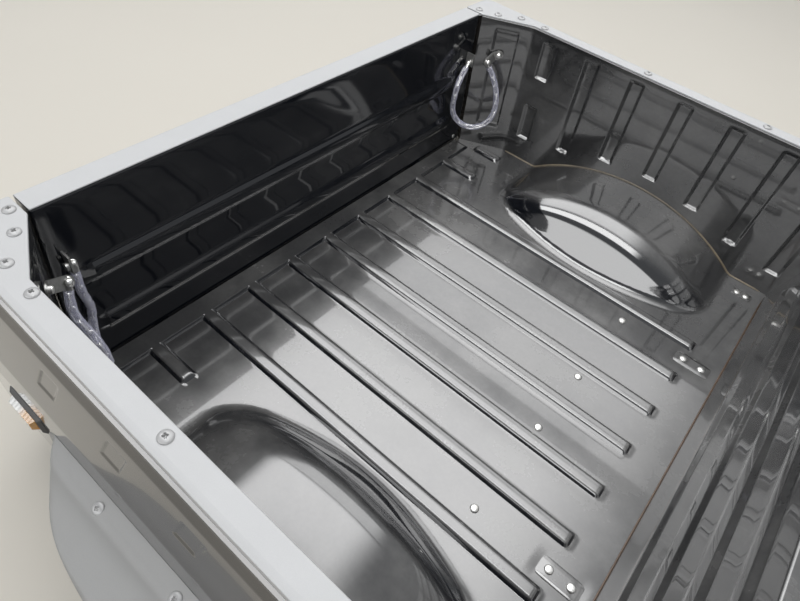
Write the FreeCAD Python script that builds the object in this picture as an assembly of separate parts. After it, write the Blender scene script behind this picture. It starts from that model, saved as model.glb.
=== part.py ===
import FreeCAD, Part
import math
import os

from FreeCAD import Vector

# Dumping cargo bed of a side by side utility vehicle, with its tailgate.
# Millimetres. +X points forward to the cab, +Y to the vehicle's left, +Z up.
# The origin is on the dump hinge's axis, midway between its two ears.

# Floor and walls
hinge_to_gate = 150.0
hinge_to_floor = 105.0
floor_length = 845.0
floor_half_width = 600.0
wall_height = 341.0
wall_lean = 25.0
front_lean = 78.0
sheet = 2.0
skin = 1.5

# Corner walls at the tailgate, slanted inward
corner_run = 112.0
corner_inset = 54.0
body_gap = 5.0
flange_gap = 0.5

# Pressed ribs of the floor
rib_height = 8.0
rib_base = 32.0
rib_top = 22.0
rib_count = 7
rib_pitch = 106.0
rib_front = 779.0
rib_end_slope = 8.0
sill_width = 38.0
short_rib_front = 138.0
short_ribs = [  # in from the wall's foot, rear end from the gate
    (170.0, body_gap),
    (55.0, 60.0),
]

# Wheelhouse domes
dome_x = 486.0
dome_radius = 431.0
dome_height = 95.0
dome_flat_edge = 460.0
dome_inner_edge = 345.0
dome_skirt = 40.0
dome_past = 10.0

# Slots pressed in the side walls
slot_width = 36.0
slot_depth = 7.0
slot_slope = 7.0
slot_top = 321.0
slots = [  # place along the wall, bottom over the floor, top over the floor
    (164.0, 228.0, 318.0),
    (160.0, 60.0, 156.0),
    (272.5, 79.0, slot_top),
    (382.0, 112.0, slot_top),
    (493.5, 125.0, slot_top),
    (606.0, 107.0, slot_top),
    (715.0, 74.0, slot_top),
    (823.0, 56.0, slot_top),
]

# Outer skin: out from the inner wall's foot, up from the floor
skin_cavity = 7.0
skin_swell = 39.0
skin_bend = 150.0
skin_hem = 35.0
skin_flange = 16.0
hem_width = 26.0
skin_folds = [  # out from the rail's edge, down from the rail
    (0.0, 14.0),
    (7.0, 19.0),
    (5.0, 31.0),
    (12.0, 43.0),
]
skin_shoulder_in = 5.0
skin_shoulder_rise = 50.0

# Diamonds pressed in the outer skin
diamond_pitch = 130.0
diamond_first = 196.0
diamond_count = 6
diamond_size = 36.0
diamond_slant = 7.2
diamond_depth = 3.0
diamond_height = 262.0

# Rail caps
cap_thick = 3.0
cap_lip = 14.0
cap_wall = 2.5
cap_overhang = 3.0
cap_corner_radius = 9.0

# Tailgate
gate_thick = 38.0
gate_drop = 10.0
gate_hinge_drop = 22.0
gate_bead_depth = 6.0
gate_bead_end = 480.0
gate_beads = [(64.0, 102.0), (174.0, 212.0)]
gate_panel_depth = 5.0
gate_panel_margin = 45.0
gate_panel_end = 470.0

# Gate hinges
gate_hinge_in = 220.0
hinge_pin_radius = 5.0
hinge_barrel_radius = 9.0
hinge_running = 0.1
bed_lug_length = 26.0
gate_lug_length = 12.0
lug_side_gap = 1.0

# Front panel
front_flange = 40.0
front_lip = 22.0
front_foot_flange = 18.0
front_bead_depth = 5.0
front_bead_end = 540.0
front_beads = [(58.0, 84.0), (122.0, 160.0), (198.0, 236.0), (272.0, 304.0)]

# Fender flares
flare_top = 152.0
flare_reach = 96.0
flare_thick = 3.0
flare_lip = 13.0
flare_foot = 60.0
flare_foot_width = 60.0
flare_back = [  # forward from the foot's corner, up from the foot
    (0.0, 0.0),
    (12.0, 110.0),
    (34.0, 172.0),
]
flare_tip = 66.0
flare_plan = [  # forward from the foot's corner, out from the skin
    (177.0, 76.0),
    (77.0, 43.0),
    (2.0, 0.0),
]
flare_flange = (24.0, -16.0)  # out from the skin, down from the top
flare_valley = (62.0, -30.0)
flare_shoulder_drop = 38.0

# Underframe
channel_depth = 30.0
channel_web = 44.0
channel_flange = 14.0
channel_sheet = 2.5
channel_end = 25.0
channels = [  # name, place along the floor, half length
    ("rear_channel", 45.0, floor_half_width - channel_end),
    ("middle_channel", 340.0, dome_inner_edge - channel_end),
    ("bolt_channel", 635.0, dome_inner_edge - channel_end),
    ("front_channel", 791.0, floor_half_width - channel_end),
]
beam_y = 273.0
beam_width = 50.0
beam_height = 40.0
beam_wall = 2.5
beam_rear = 12.0
beam_front = 825.0

# Dump hinge ears
ear_bore_radius = 8.1
ear_outer_radius = 20.0
ear_thick = 8.0
ear_spread = 50.0

# Dump latch loop at the front and lift strut stud at the middle
striker_radius = 6.0
striker_half_width = 32.0
striker_drop = 62.0
strut_bore_radius = 4.1
strut_x = 455.0

strut_outer = 12.0
strut_reach = 9.0

# Tailgate's handle
handle_length = 150.0
handle_height = 46.0
handle_depth = 10.0
handle_z = 262.0

# Side markers and tail lamps
marker_behind = 14.0
marker_z = 115.0
marker_length = 80.0
marker_height = 38.0
marker_base_depth = 5.0
marker_lens_depth = 8.0
lamp_inset = 18.0
lamp_width = 54.0
lamp_bottom = 170.0
lamp_height = 132.0
lamp_base_depth = 8.0
lamp_lens_depth = 9.0
lamp_rim = 10.0

# Tailgate chains in clear sleeves
chain_radius = 7.0
stud_radius = 5.0
stud_length = 12.0
bolt_radius = 6.5
bolt_head = 4.5
strap_width = 20.0
strap_thick = 3.0
anchor_foot = (55.0, 257.0)  # wall bolt: forward from the gate, over the floor
anchor_bend = 12.0
anchor_bolt = (45.0, 25.0, 242.0)  # forward from the gate, in from the jamb's foot, over the floor
tab_bolt = (10.0, 50.5, 234.0)
tab_side = 5.0
tab_edge = 10.0
tab_below = 8.0
tab_above = 22.0
chain_routes = {  # forward from the gate, in from the jamb's foot, over the floor
    "left": [
        (11.5, 59.5, 226.5),
        (16.0, 88.5, 201.5),
        (19.0, 97.0, 171.0),
        (16.0, 93.0, 139.5),
        (18.0, 83.0, 110.5),
        (35.0, 69.0, 89.0),
        (58.5, 52.5, 82.5),
        (80.5, 35.0, 92.5),
        (93.5, 21.5, 115.5),
        (93.0, 15.0, 145.5),
        (83.5, 12.0, 177.5),
        (68.5, 13.5, 207.5),
        (51.5, 22.0, 232.5),
    ],
    "right": [
        (13.5, 48.5, 222.5),
        (22.0, 43.0, 193.0),
        (17.5, 48.0, 164.0),
        (9.5, 52.0, 136.0),
        (11.0, 44.0, 105.5),
        (30.0, 33.5, 83.0),
        (59.5, 24.5, 76.5),
        (88.5, 19.0, 89.0),
        (105.0, 17.5, 116.0),
        (103.5, 18.0, 148.0),
        (83.0, 15.0, 175.5),
        (62.0, 8.5, 205.0),
        (49.5, 20.5, 232.0),
    ],
}

# Room past every edge, for the shapes that trim the panels
outside = 400.0

gate_x = -hinge_to_gate
floor_z = hinge_to_floor
rail_z = floor_z + wall_height
bed_rear = gate_x + body_gap
jamb_y = floor_half_width - corner_inset
skin_top_out = floor_half_width + skin_cavity
skin_widest = skin_top_out + skin_swell
cap_outer = skin_top_out + cap_overhang
front_foot = gate_x + floor_length
lean_rate = wall_lean / wall_height
front_rate = front_lean / wall_height
dome_axis_x = gate_x + dome_x
dome_axis_z = floor_z - (dome_radius - dome_height)
under_floor = floor_z - sheet
under_channel = under_floor - channel_depth
under_beam = under_channel - beam_height
gate_axis_x = gate_x - gate_thick / 2
gate_axis_z = floor_z - gate_hinge_drop
gate_hinge_y = floor_half_width - gate_hinge_in
flare_foot_z = floor_z - flare_foot
flare_opening = math.sqrt((dome_radius - flare_lip) ** 2 - (flare_foot_z - dome_axis_z) ** 2)
flare_half_foot = flare_opening + flare_foot_width
marker_x = dome_axis_x - flare_half_foot - marker_behind


def face_of(points):
    """A flat face inside straight lines through the points."""
    return Part.Face(Part.makePolygon(points + [points[0]]))


def prism_x(outline, start, end):
    """(y, z) outline carried along X."""
    points = [Vector(start, y, z) for y, z in outline]
    return face_of(points).extrude(Vector(end - start, 0, 0))


def prism_y(outline, start, end):
    """(x, z) outline carried along Y."""
    points = [Vector(x, start, z) for x, z in outline]
    return face_of(points).extrude(Vector(0, end - start, 0))


def prism_z(outline, start, end):
    """(x, y) outline carried along Z."""
    points = [Vector(x, y, start) for x, y in outline]
    return face_of(points).extrude(Vector(0, 0, end - start))


def box(x0, x1, y0, y1, z0, z1):
    return Part.makeBox(x1 - x0, y1 - y0, z1 - z0, Vector(x0, y0, z0))


def rod_y(radius, x, z, start, end):
    return Part.makeCylinder(radius, end - start, Vector(x, start, z), Vector(0, 1, 0))


def fused(solids):
    whole = solids[0]
    for solid in solids[1:]:
        whole = whole.fuse(solid)
    return whole.removeSplitter()


def other_side(shape):
    """The right hand piece, made from the left hand one."""
    return shape.mirror(Vector(0, 0, 0), Vector(0, 1, 0))


def bent(line, thickness):
    """Outline of a bent sheet: the line, and the line moved square to itself."""
    moved = []
    count = len(line)
    for i, (a, b) in enumerate(line):
        before = line[max(i - 1, 0)]
        after = line[min(i + 1, count - 1)]
        first = (a - before[0], b - before[1])
        last = (after[0] - a, after[1] - b)
        if i == 0:
            first = last
        if i == count - 1:
            last = first
        first_angle = math.atan2(first[1], first[0])
        turn = math.atan2(first[0] * last[1] - first[1] * last[0], first[0] * last[0] + first[1] * last[1])
        reach = thickness / math.cos(turn / 2)
        square = first_angle + turn / 2 + math.pi / 2
        moved.append((a + reach * math.cos(square), b + reach * math.sin(square)))
    return line + moved[::-1]


def leaned(outline, bottom, top):
    """(x, y) outline on the floor's level carried up along the wall's inward lean."""
    low = Vector(0, -lean_rate * (bottom - floor_z), bottom)
    points = [Vector(x, y, 0) + low for x, y in outline]
    rise = top - bottom
    return face_of(points).extrude(Vector(0, -lean_rate * rise, rise))


def pressed(length, width, depth, slope):
    """A pressed bead along X: flat top, four sloping sides, centred on its foot."""
    half = length / 2
    side = width / 2
    long_way = [(-half, 0), (half, 0), (half - slope, depth), (-half + slope, depth)]
    cross = [(-side, 0), (side, 0), (side - slope, depth), (-side + slope, depth)]
    return prism_y(long_way, -side, side).common(prism_x(cross, -half, half))


def placed(shape, origin, along, across):
    """Turn X to 'along' and Y to 'across', and move to the origin given."""
    along = Vector(along).normalize()
    up = along.cross(Vector(across)).normalize()
    across = up.cross(along)
    matrix = FreeCAD.Matrix(
        along.x, across.x, up.x, origin.x,
        along.y, across.y, up.y, origin.y,
        along.z, across.z, up.z, origin.z,
        0, 0, 0, 1)
    turned = shape.copy()
    turned.Placement = FreeCAD.Placement(matrix).multiply(shape.Placement)
    return turned


# Outer skin's line from the rail down to the hem, as (y, z)
top_z = rail_z - cap_thick
skin_line = [(skin_top_out - skin_flange, top_z), (skin_top_out, top_z)]
skin_line += [(skin_top_out + out, top_z - down) for out, down in skin_folds]
skin_line += [
    (skin_widest - skin_shoulder_in, floor_z + skin_bend + skin_shoulder_rise),
    (skin_widest, floor_z + skin_bend),
    (skin_widest, floor_z - skin_hem),
    (skin_widest - hem_width, floor_z - skin_hem),
]


def front_x(z):
    """Inner face of the front panel at a height."""
    return front_foot + front_rate * (z - floor_z)


def wall_y(z):
    """Inner face of the straight part of the left wall at a height."""
    return floor_half_width - lean_rate * (z - floor_z)


def inside_skin():
    """All the space between the two outer skins, left and right."""
    inner = bent(skin_line, -skin)[len(skin_line):][::-1]
    edge = skin_top_out - skin_flange - flange_gap
    half = [(0, top_z), (edge, top_z), (edge, inner[1][1])] + inner[1:-1]
    half.append((0, floor_z - skin_hem + skin))
    left = prism_x(half, gate_x - outside, front_foot + outside)
    return left.fuse(other_side(left))


def ahead_of_panel(distance):
    """All the space in front of the leaning panel, from a distance forward of its face."""
    low = floor_z - outside
    high = rail_z + outside
    far = front_foot + 2 * outside
    return prism_y([(front_x(low) + distance, low), (front_x(high) + distance, high),
                    (far, high), (far, low)], 0, 2 * skin_widest)


def dome(shrink):
    """Wheelhouse form: a rounded shoulder turned about an axis across the bed."""
    top = dome_radius - shrink
    reach = dome_flat_edge - dome_inner_edge
    bend = 2 * math.atan2(dome_height, reach)
    radius = reach / math.sin(bend)
    inner = radius - shrink
    centre_y = dome_flat_edge
    centre_z = dome_radius - radius
    outer_y = skin_widest - skin

    def arc_point(angle):
        y = centre_y - inner * math.sin(angle)
        return Vector(dome_axis_x, y, dome_axis_z + centre_z + inner * math.cos(angle))

    edge = Vector(dome_axis_x, outer_y, dome_axis_z + top)
    start = arc_point(0)
    end = arc_point(bend)
    foot = Vector(dome_axis_x, end.y - dome_skirt * math.cos(bend), end.z - dome_skirt * math.sin(bend))
    outer_foot = Vector(dome_axis_x, outer_y, foot.z)
    wire = Part.Wire([
        Part.makeLine(edge, start),
        Part.Arc(start, arc_point(bend / 2), end).toShape(),
        Part.makeLine(end, foot),
        Part.makeLine(foot, outer_foot),
        Part.makeLine(outer_foot, edge)])
    half_turn = math.degrees(math.acos(1 - dome_height / dome_radius)) + dome_past
    axis = Vector(dome_axis_x, 0, dome_axis_z)
    profile = Part.Face(wire)
    profile.rotate(axis, Vector(0, 1, 0), -half_turn)
    return profile.revolve(axis, Vector(0, 1, 0), 2 * half_turn)


def floor_rib(y, rear, front, shrink):
    base = rib_base / 2 - shrink
    top = rib_top / 2 - shrink
    height = rib_height - shrink
    lower = floor_z - sheet - shrink
    cross = [(y - base, lower), (y + base, lower), (y + base, floor_z - shrink),
             (y + top, floor_z + height), (y - top, floor_z + height), (y - base, floor_z - shrink)]
    end = gate_x + front - shrink
    long_way = [(rear, lower), (end, lower), (end, floor_z - shrink),
                (end - rib_end_slope, floor_z + height), (rear, floor_z + height)]
    return prism_x(cross, rear, end).common(prism_y(long_way, y - rib_base, y + rib_base))


def floor_sill(shrink):
    """Raised flat along the tailgate, as high as the ribs that run into it."""
    lower = floor_z - sheet - shrink
    front = gate_x + sill_width - shrink
    height = floor_z + rib_height - shrink
    line = [(bed_rear, lower), (front + rib_end_slope, lower), (front + rib_end_slope, floor_z - shrink),
            (front, height), (bed_rear, height)]
    half = jamb_y - 2 * rib_end_slope
    return prism_y(line, -half + shrink, half - shrink)


def floor_forms(shrink):
    """Everything that stands up from the flat of the floor."""
    forms = [floor_sill(shrink)]
    for index in range(rib_count):
        line = (index - (rib_count - 1) / 2) * rib_pitch
        forms.append(floor_rib(line, bed_rear, rib_front, shrink))
    for inset_y, rear in short_ribs:
        for side in (-1, 1):
            line = side * (floor_half_width - inset_y)
            forms.append(floor_rib(line, gate_x + rear, short_rib_front, shrink))
    above = box(gate_x, front_foot, 0, skin_widest, floor_z - sheet, rail_z)
    left = dome(shrink).common(above)
    return forms + [left, other_side(left)]


def floor_pan():
    """One stamping: flat, ribs, sill and both wheelhouses, all of one thickness."""
    half = skin_widest - skin
    front = front_foot + front_foot_flange
    outer = box(bed_rear, front, -half, half, floor_z - sheet, floor_z)
    for form in floor_forms(0.0):
        outer = outer.fuse(form)
    for form in floor_forms(sheet):
        outer = outer.cut(form)
    trim = box(bed_rear, front, -half, half, floor_z - sheet, floor_z + wall_height)
    return outer.common(trim).removeSplitter()


def slot_press(place, bottom, top, shrink):
    """One wall slot, with its slanted foot and head, pressed outwards."""
    length = top - bottom - 2 * shrink
    press = pressed(length, slot_width - 2 * shrink, slot_depth - shrink, slot_slope)
    middle = floor_z + (bottom + top) / 2
    origin = Vector(gate_x + place, wall_y(middle), middle)
    return placed(press, origin, (0, -lean_rate, 1), (1, 0, 0))


def side_inner():
    """Inner side wall, with its slots and the slanted corner by the tailgate."""
    ahead = front_foot + front_lean + front_flange
    line = [(bed_rear, jamb_y), (gate_x + corner_run, floor_half_width), (ahead, floor_half_width)]
    wall = leaned(bent(line, skin), floor_z, top_z)
    shelf_y = wall_y(top_z)
    flange = skin_top_out - skin_flange - flange_gap - shelf_y
    shelf_line = [(x, y - floor_half_width + shelf_y) for x, y in line]
    shelf = prism_z(bent(shelf_line, flange), top_z - skin, top_z)
    wall = wall.fuse(shelf)
    for place, bottom, high in slots:
        wall = wall.fuse(slot_press(place, bottom, high, -skin))
    for place, bottom, high in slots:
        wall = wall.cut(slot_press(place, bottom, high, 0.0))
    wall = wall.cut(ahead_of_panel(0.0))
    wall = wall.common(box(bed_rear, front_foot + outside, 0, skin_widest, floor_z, rail_z))
    wall = wall.cut(rod_y(dome_radius, dome_axis_x, dome_axis_z, 0, 2 * skin_widest))
    return wall.removeSplitter()


def diamond(place, grow, depth, proud):
    """Slanted four sided recess in the outer skin, or the metal round it."""
    half = diamond_size / 2 + grow
    outline = [(-half - diamond_slant, -half), (half - diamond_slant, -half),
               (half + diamond_slant, half), (-half + diamond_slant, half)]
    upper = skin_line[-5]
    lower = skin_line[-4]
    z = floor_z + diamond_height
    share = (z - lower[1]) / (upper[1] - lower[1])
    y = lower[0] + share * (upper[0] - lower[0])
    rise = (0, upper[0] - lower[0], upper[1] - lower[1])
    return placed(prism_z(outline, -proud, depth), Vector(gate_x + place, y, z), (1, 0, 0), rise)


def side_outer():
    """Outer skin: rail flange, fold, concave band, diamonds, wheel arch and hem."""
    rear = gate_x - gate_thick
    front = front_foot + front_lean + front_flange
    panel = prism_x(bent(skin_line, -skin), rear, front)
    for index in range(diamond_count):
        place = diamond_first + index * diamond_pitch
        panel = panel.fuse(diamond(place, skin, diamond_depth + skin, 0.0))
        panel = panel.cut(diamond(place, 0.0, diamond_depth, diamond_size))
    panel = panel.cut(ahead_of_panel(front_flange))
    arch = rod_y(dome_radius - sheet, dome_axis_x, dome_axis_z, 0, 2 * skin_widest)
    return panel.cut(arch).removeSplitter()


def corner_post():
    """Jamb beside the tailgate, and the rear face that carries the tail lamp."""
    rear = gate_x - gate_thick
    line = [(bed_rear, jamb_y), (rear, jamb_y), (rear, skin_widest + outside)]
    post = leaned(bent(line, -sheet), floor_z - skin_hem + skin, top_z)
    return post.common(inside_skin()).removeSplitter()


def panel_bead(z, length, width, depth, shrink):
    """A long pressed bead on the front panel, standing into the bed."""
    press = pressed(length - 2 * shrink, width - 2 * shrink, depth - shrink, depth)
    return placed(press, Vector(front_x(z), 0, z), (0, 1, 0), (-front_rate, 0, -1))


def front_panel():
    """Leaning headboard: foot flange, beads, and the rail folded forward."""
    top = front_x(top_z)
    line = [(front_foot + front_foot_flange, floor_z), (front_foot, floor_z), (top, top_z),
            (top + front_flange, top_z), (top + front_flange, top_z - front_lip)]
    panel = prism_y(bent(line, -skin), -skin_widest, skin_widest)
    for low, high in front_beads:
        middle = floor_z + (low + high) / 2
        length = 2 * front_bead_end
        panel = panel.fuse(panel_bead(middle, length, high - low, front_bead_depth, 0.0))
        panel = panel.cut(panel_bead(middle, length, high - low, front_bead_depth, skin))
    return panel.common(inside_skin()).removeSplitter()


def rail_cap():
    """Moulded strip on the side rail, wider over the corner post, with a lip down its outer side."""
    narrow = wall_y(top_z)
    wide = narrow - corner_inset
    rear = gate_x - gate_thick - flange_gap - cap_wall
    front = front_x(top_z) + front_flange + cap_wall
    bend = gate_x + corner_run
    outline = [(rear, wide), (bed_rear, wide), (bend, narrow), (front, narrow),
               (front, cap_outer), (rear, cap_outer)]
    cap = prism_z(outline, rail_z - cap_lip, rail_z)
    corners = [edge for edge in cap.Edges
               if edge.BoundBox.ZLength > cap_lip / 2 and edge.CenterOfMass.y > cap_outer - cap_wall]
    cap = cap.makeFillet(cap_corner_radius, corners)
    room = prism_z(inset(outline, cap_wall), rail_z - cap_lip, top_z)
    open_side = room.translated(Vector(0, -2 * cap_wall, 0))
    over_front = box(front_x(rail_z - cap_lip) - 2 * flange_gap, front, narrow - flange_gap,
                     cap_outer - cap_wall, rail_z - cap_lip, top_z)
    return cap.cut(room).cut(open_side).cut(over_front).removeSplitter()


def inset(outline, distance):
    """A closed outline, run anticlockwise, moved inward by a distance."""
    moved = []
    count = len(outline)
    for i, (a, b) in enumerate(outline):
        before = outline[i - 1]
        after = outline[(i + 1) % count]
        first = math.atan2(b - before[1], a - before[0])
        last = math.atan2(after[1] - b, after[0] - a)
        turn = (last - first + math.pi) % (2 * math.pi) - math.pi
        reach = distance / math.cos(turn / 2)
        square = first + turn / 2 + math.pi / 2
        moved.append((a + reach * math.cos(square), b + reach * math.sin(square)))
    return moved


def gate_outline(shrink):
    """The tailgate seen from behind, as (y, z): it narrows upwards like the bed."""
    bottom = floor_z - gate_drop
    wide = wall_y(bottom) - corner_inset - body_gap
    narrow = wall_y(top_z) - corner_inset - body_gap
    outline = [(-wide, bottom), (wide, bottom), (narrow, top_z), (-narrow, top_z)]
    return inset(outline, shrink) if shrink else outline


def gate_bead(low, high, shrink):
    middle = floor_z + (low + high) / 2
    press = pressed(2 * gate_bead_end - 2 * shrink, high - low - 2 * shrink,
                    gate_bead_depth - shrink, gate_bead_depth)
    return placed(press, Vector(gate_x, 0, middle), (0, 1, 0), (0, 0, 1))


def gate_inner():
    """Tailgate's inner pan, with two long beads and flanges on all four edges."""
    back = gate_x - gate_thick + skin
    pan = prism_x(gate_outline(0), back, gate_x)
    pan = pan.cut(prism_x(gate_outline(skin), back, gate_x - skin))
    for low, high in gate_beads:
        pan = pan.fuse(gate_bead(low, high, 0.0))
        pan = pan.cut(gate_bead(low, high, skin))
    return pan.removeSplitter()


def gate_outer():
    """Tailgate's outer skin, with one wide shallow panel pressed in."""
    rear = gate_x - gate_thick
    plate = prism_x(gate_outline(0), rear, rear + skin)
    length = 2 * gate_panel_end
    width = wall_height - 2 * gate_panel_margin
    middle = floor_z + wall_height / 2 - gate_drop
    outer = pressed(length, width, gate_panel_depth, gate_panel_depth)
    inner = pressed(length + 2 * skin, width + 2 * skin, gate_panel_depth + skin, gate_panel_depth)
    place = Vector(rear, 0, middle)
    plate = plate.fuse(placed(inner, place, (0, 1, 0), (0, 0, 1)))
    return plate.cut(placed(outer, place, (0, 1, 0), (0, 0, 1))).removeSplitter()


def gate_cap():
    """Moulded strip on the tailgate's top edge, flush with its inner face, with a lip behind."""
    half = gate_outline(0)[2][0]
    rear = gate_x - gate_thick - cap_wall
    low = rail_z - cap_lip
    line = [(rear, low), (rear + cap_wall, low), (rear + cap_wall, top_z), (gate_x, top_z),
            (gate_x, rail_z), (rear, rail_z)]
    return prism_y(line, -half, half)


def gate_pivot():
    """Barrel on the bed for one tailgate hinge pin."""
    half = bed_lug_length / 2
    start = gate_hinge_y - half
    end = gate_hinge_y + half
    web_face = gate_x + channels[0][1] - channel_web / 2 - channel_sheet
    barrel = rod_y(hinge_barrel_radius, gate_axis_x, gate_axis_z, start, end)
    arm = box(gate_axis_x, web_face, start, end,
              gate_axis_z - hinge_barrel_radius, gate_axis_z + hinge_barrel_radius)
    bore = rod_y(hinge_pin_radius + hinge_running, gate_axis_x, gate_axis_z, start, end)
    return barrel.fuse(arm).cut(bore).removeSplitter()


def gate_hinge():
    """Two lugs under the tailgate and the pin that they hold."""
    near = bed_lug_length / 2 + lug_side_gap
    far = near + gate_lug_length
    solids = [rod_y(hinge_pin_radius, gate_axis_x, gate_axis_z, gate_hinge_y - far, gate_hinge_y + far)]
    for start, end in ((-far, -near), (near, far)):
        start += gate_hinge_y
        end += gate_hinge_y
        solids.append(rod_y(hinge_barrel_radius, gate_axis_x, gate_axis_z, start, end))
        solids.append(box(gate_axis_x - hinge_barrel_radius, gate_axis_x + hinge_barrel_radius,
                          start, end, gate_axis_z, floor_z - gate_drop))
    return fused(solids)


def gate_handle():
    """Paddle latch in the middle of the tailgate's outer face."""
    rear = gate_x - gate_thick
    paddle = pressed(handle_length, handle_height, handle_depth, handle_depth / 2)
    return placed(paddle, Vector(rear, 0, floor_z + handle_z), (0, 1, 0), (0, 0, -1))


def smooth_run(start, direction, points):
    """Arcs that leave the start in a direction and pass through the points with no corner."""
    edges = []
    direction = Vector(direction).normalize()
    for end in points:
        chord = end - start
        bend = direction.getAngle(chord)
        side = (direction - chord * (direction.dot(chord) / chord.dot(chord))).normalize()
        middle = start + chord / 2 + side * (chord.Length / 2 * math.tan(bend / 2))
        edges.append(Part.Arc(start, middle, end).toShape())
        direction = chord * (2 * direction.dot(chord) / chord.dot(chord)) - direction
        start = end
    return edges


def flare_form(shrink):
    """Fender shape where three outlines meet: from the side, from above and along the bed."""
    foot_x = dome_axis_x - flare_half_foot
    back = [(foot_x + x, flare_foot_z + z) for x, z in flare_back]
    back.append((foot_x + flare_tip, floor_z + flare_top))
    side = [(2 * dome_axis_x - x, z) for x, z in back] + back[::-1]
    side = inset(side, shrink) if shrink else side
    form = prism_y(side, skin_widest + shrink, skin_widest + flare_reach + flare_lip)

    crown = Vector(dome_axis_x, skin_widest + flare_reach - shrink, floor_z - 2 * flare_foot)
    rear_points = [Vector(foot_x + x, skin_widest + y - shrink, crown.z) for x, y in flare_plan]
    front_points = [Vector(2 * dome_axis_x - point.x, point.y, point.z) for point in rear_points]
    edges = smooth_run(crown, (-1, 0, 0), rear_points) + smooth_run(crown, (1, 0, 0), front_points)
    deeper = Vector(0, -2 * flare_lip, 0)
    start, end = rear_points[-1], front_points[-1]
    edges += [Part.makeLine(start, start + deeper), Part.makeLine(start + deeper, end + deeper),
              Part.makeLine(end + deeper, end)]
    plan = Part.Face(Part.Wire(Part.__sortEdges__(edges))).extrude(Vector(0, 0, 4 * flare_top))

    def across(out, up):
        return Vector(dome_axis_x - 2 * flare_half_foot, skin_widest + out - shrink, floor_z + flare_top + up - shrink)

    top = across(0.0, 0.0)
    flange = across(*flare_flange)
    shoulder = across(flare_reach, flare_valley[1] - flare_shoulder_drop)
    edges = [Part.makeLine(top, flange)]
    edges += smooth_run(flange, flange - top, [across(*flare_valley), shoulder])
    low = across(flare_reach, -4 * flare_foot)
    low_in = across(-2 * flare_lip, -4 * flare_foot)
    high_in = across(-2 * flare_lip, 0.0)
    edges += [Part.makeLine(shoulder, low), Part.makeLine(low, low_in),
              Part.makeLine(low_in, high_in), Part.makeLine(high_in, top)]
    section = Part.Face(Part.Wire(edges)).extrude(Vector(4 * flare_half_foot, 0, 0))
    return form.common(plan).common(section)


def fender_flare():
    """Moulded fender over the wheel arch, hollow and open to the wheel."""
    shell = flare_form(0.0).cut(flare_form(flare_thick))
    opening = rod_y(dome_radius - flare_lip, dome_axis_x, dome_axis_z, 0, 2 * skin_widest)
    return shell.cut(opening).removeSplitter()


def channel(place, half):
    """Hat channel welded under the floor, open side up."""
    x = gate_x + place
    side = channel_web / 2
    low = under_channel + channel_sheet
    line = [(x - side - channel_flange, under_floor), (x - side, under_floor), (x - side, low),
            (x + side, low), (x + side, under_floor), (x + side + channel_flange, under_floor)]
    return prism_y(bent(line, -channel_sheet), -half, half)


def beam():
    """Square tube along the bed, under the channels."""
    start = gate_x + beam_rear
    end = gate_x + beam_front
    low = beam_y - beam_width / 2
    high = beam_y + beam_width / 2
    tube = box(start, end, low, high, under_beam, under_channel)
    return tube.cut(box(start, end, low + beam_wall, high - beam_wall,
                        under_beam + beam_wall, under_channel - beam_wall))


def hinge_ear():
    """Ear under the beam, bored for the dump hinge's rod."""
    start = beam_y - ear_thick / 2
    end = beam_y + ear_thick / 2
    web = prism_y([(-ear_spread, under_beam), (-ear_outer_radius, 0), (ear_outer_radius, 0),
                   (ear_spread, under_beam)], start, end)
    ear = web.fuse(rod_y(ear_outer_radius, 0, 0, start, end))
    return ear.cut(rod_y(ear_bore_radius, 0, 0, start, end)).removeSplitter()


def tube_along(points, radius):
    """Round bar along straight runs joined by tangent arcs, with the arcs' radii."""
    edges = []
    radii = []
    last = points[0]
    for before, corner, after in zip(points, points[1:], points[2:]):
        back = before - corner
        ahead = after - corner
        half_turn = (math.pi - back.getAngle(ahead)) / 2
        run = 0.45 * min(back.Length, ahead.Length)
        radii.append(run / math.tan(half_turn))
        back.normalize()
        ahead.normalize()
        start = corner + back * run
        end = corner + ahead * run
        middle_dir = (back + ahead).normalize()
        depth = radii[-1] / math.cos(half_turn) - radii[-1]
        edges.append(Part.makeLine(last, start))
        edges.append(Part.Arc(start, corner + middle_dir * depth, end).toShape())
        last = end
    edges.append(Part.makeLine(last, points[-1]))
    path = Part.Wire(edges)
    direction = points[1] - points[0]
    circle = Part.Wire([Part.makeCircle(radius, points[0], direction)])
    return path.makePipeShell([circle], True, False), path.Length, radii


def by_gate(place):
    """A place given forward from the gate, in from the left jamb's foot and over the floor."""
    return Vector(gate_x + place[0], jamb_y - place[1], floor_z + place[2])


def chain(points):
    """Sleeved chain between the tailgate's tab and the anchor on the corner wall."""
    solid, length, radii = tube_along(points, chain_radius)
    print("chain length", round(length, 1), "arc radii", [round(radius) for radius in radii])
    section = math.pi * chain_radius ** 2
    print("chain volume over section times length", round(solid.Volume / (section * length), 4))
    return solid


def stud(end, before):
    """Short round bar that leaves the chain's end in the chain's own direction."""
    return Part.makeCylinder(stud_radius, stud_length, end, end - before)


def strap(length):
    """Flat bar along X with a round end, centred on its own thickness."""
    half = strap_width / 2
    flat = box(0, length, -half, half, -strap_thick / 2, strap_thick / 2)
    return flat.fuse(Part.makeCylinder(half, strap_thick, Vector(length, 0, -strap_thick / 2)))


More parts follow.
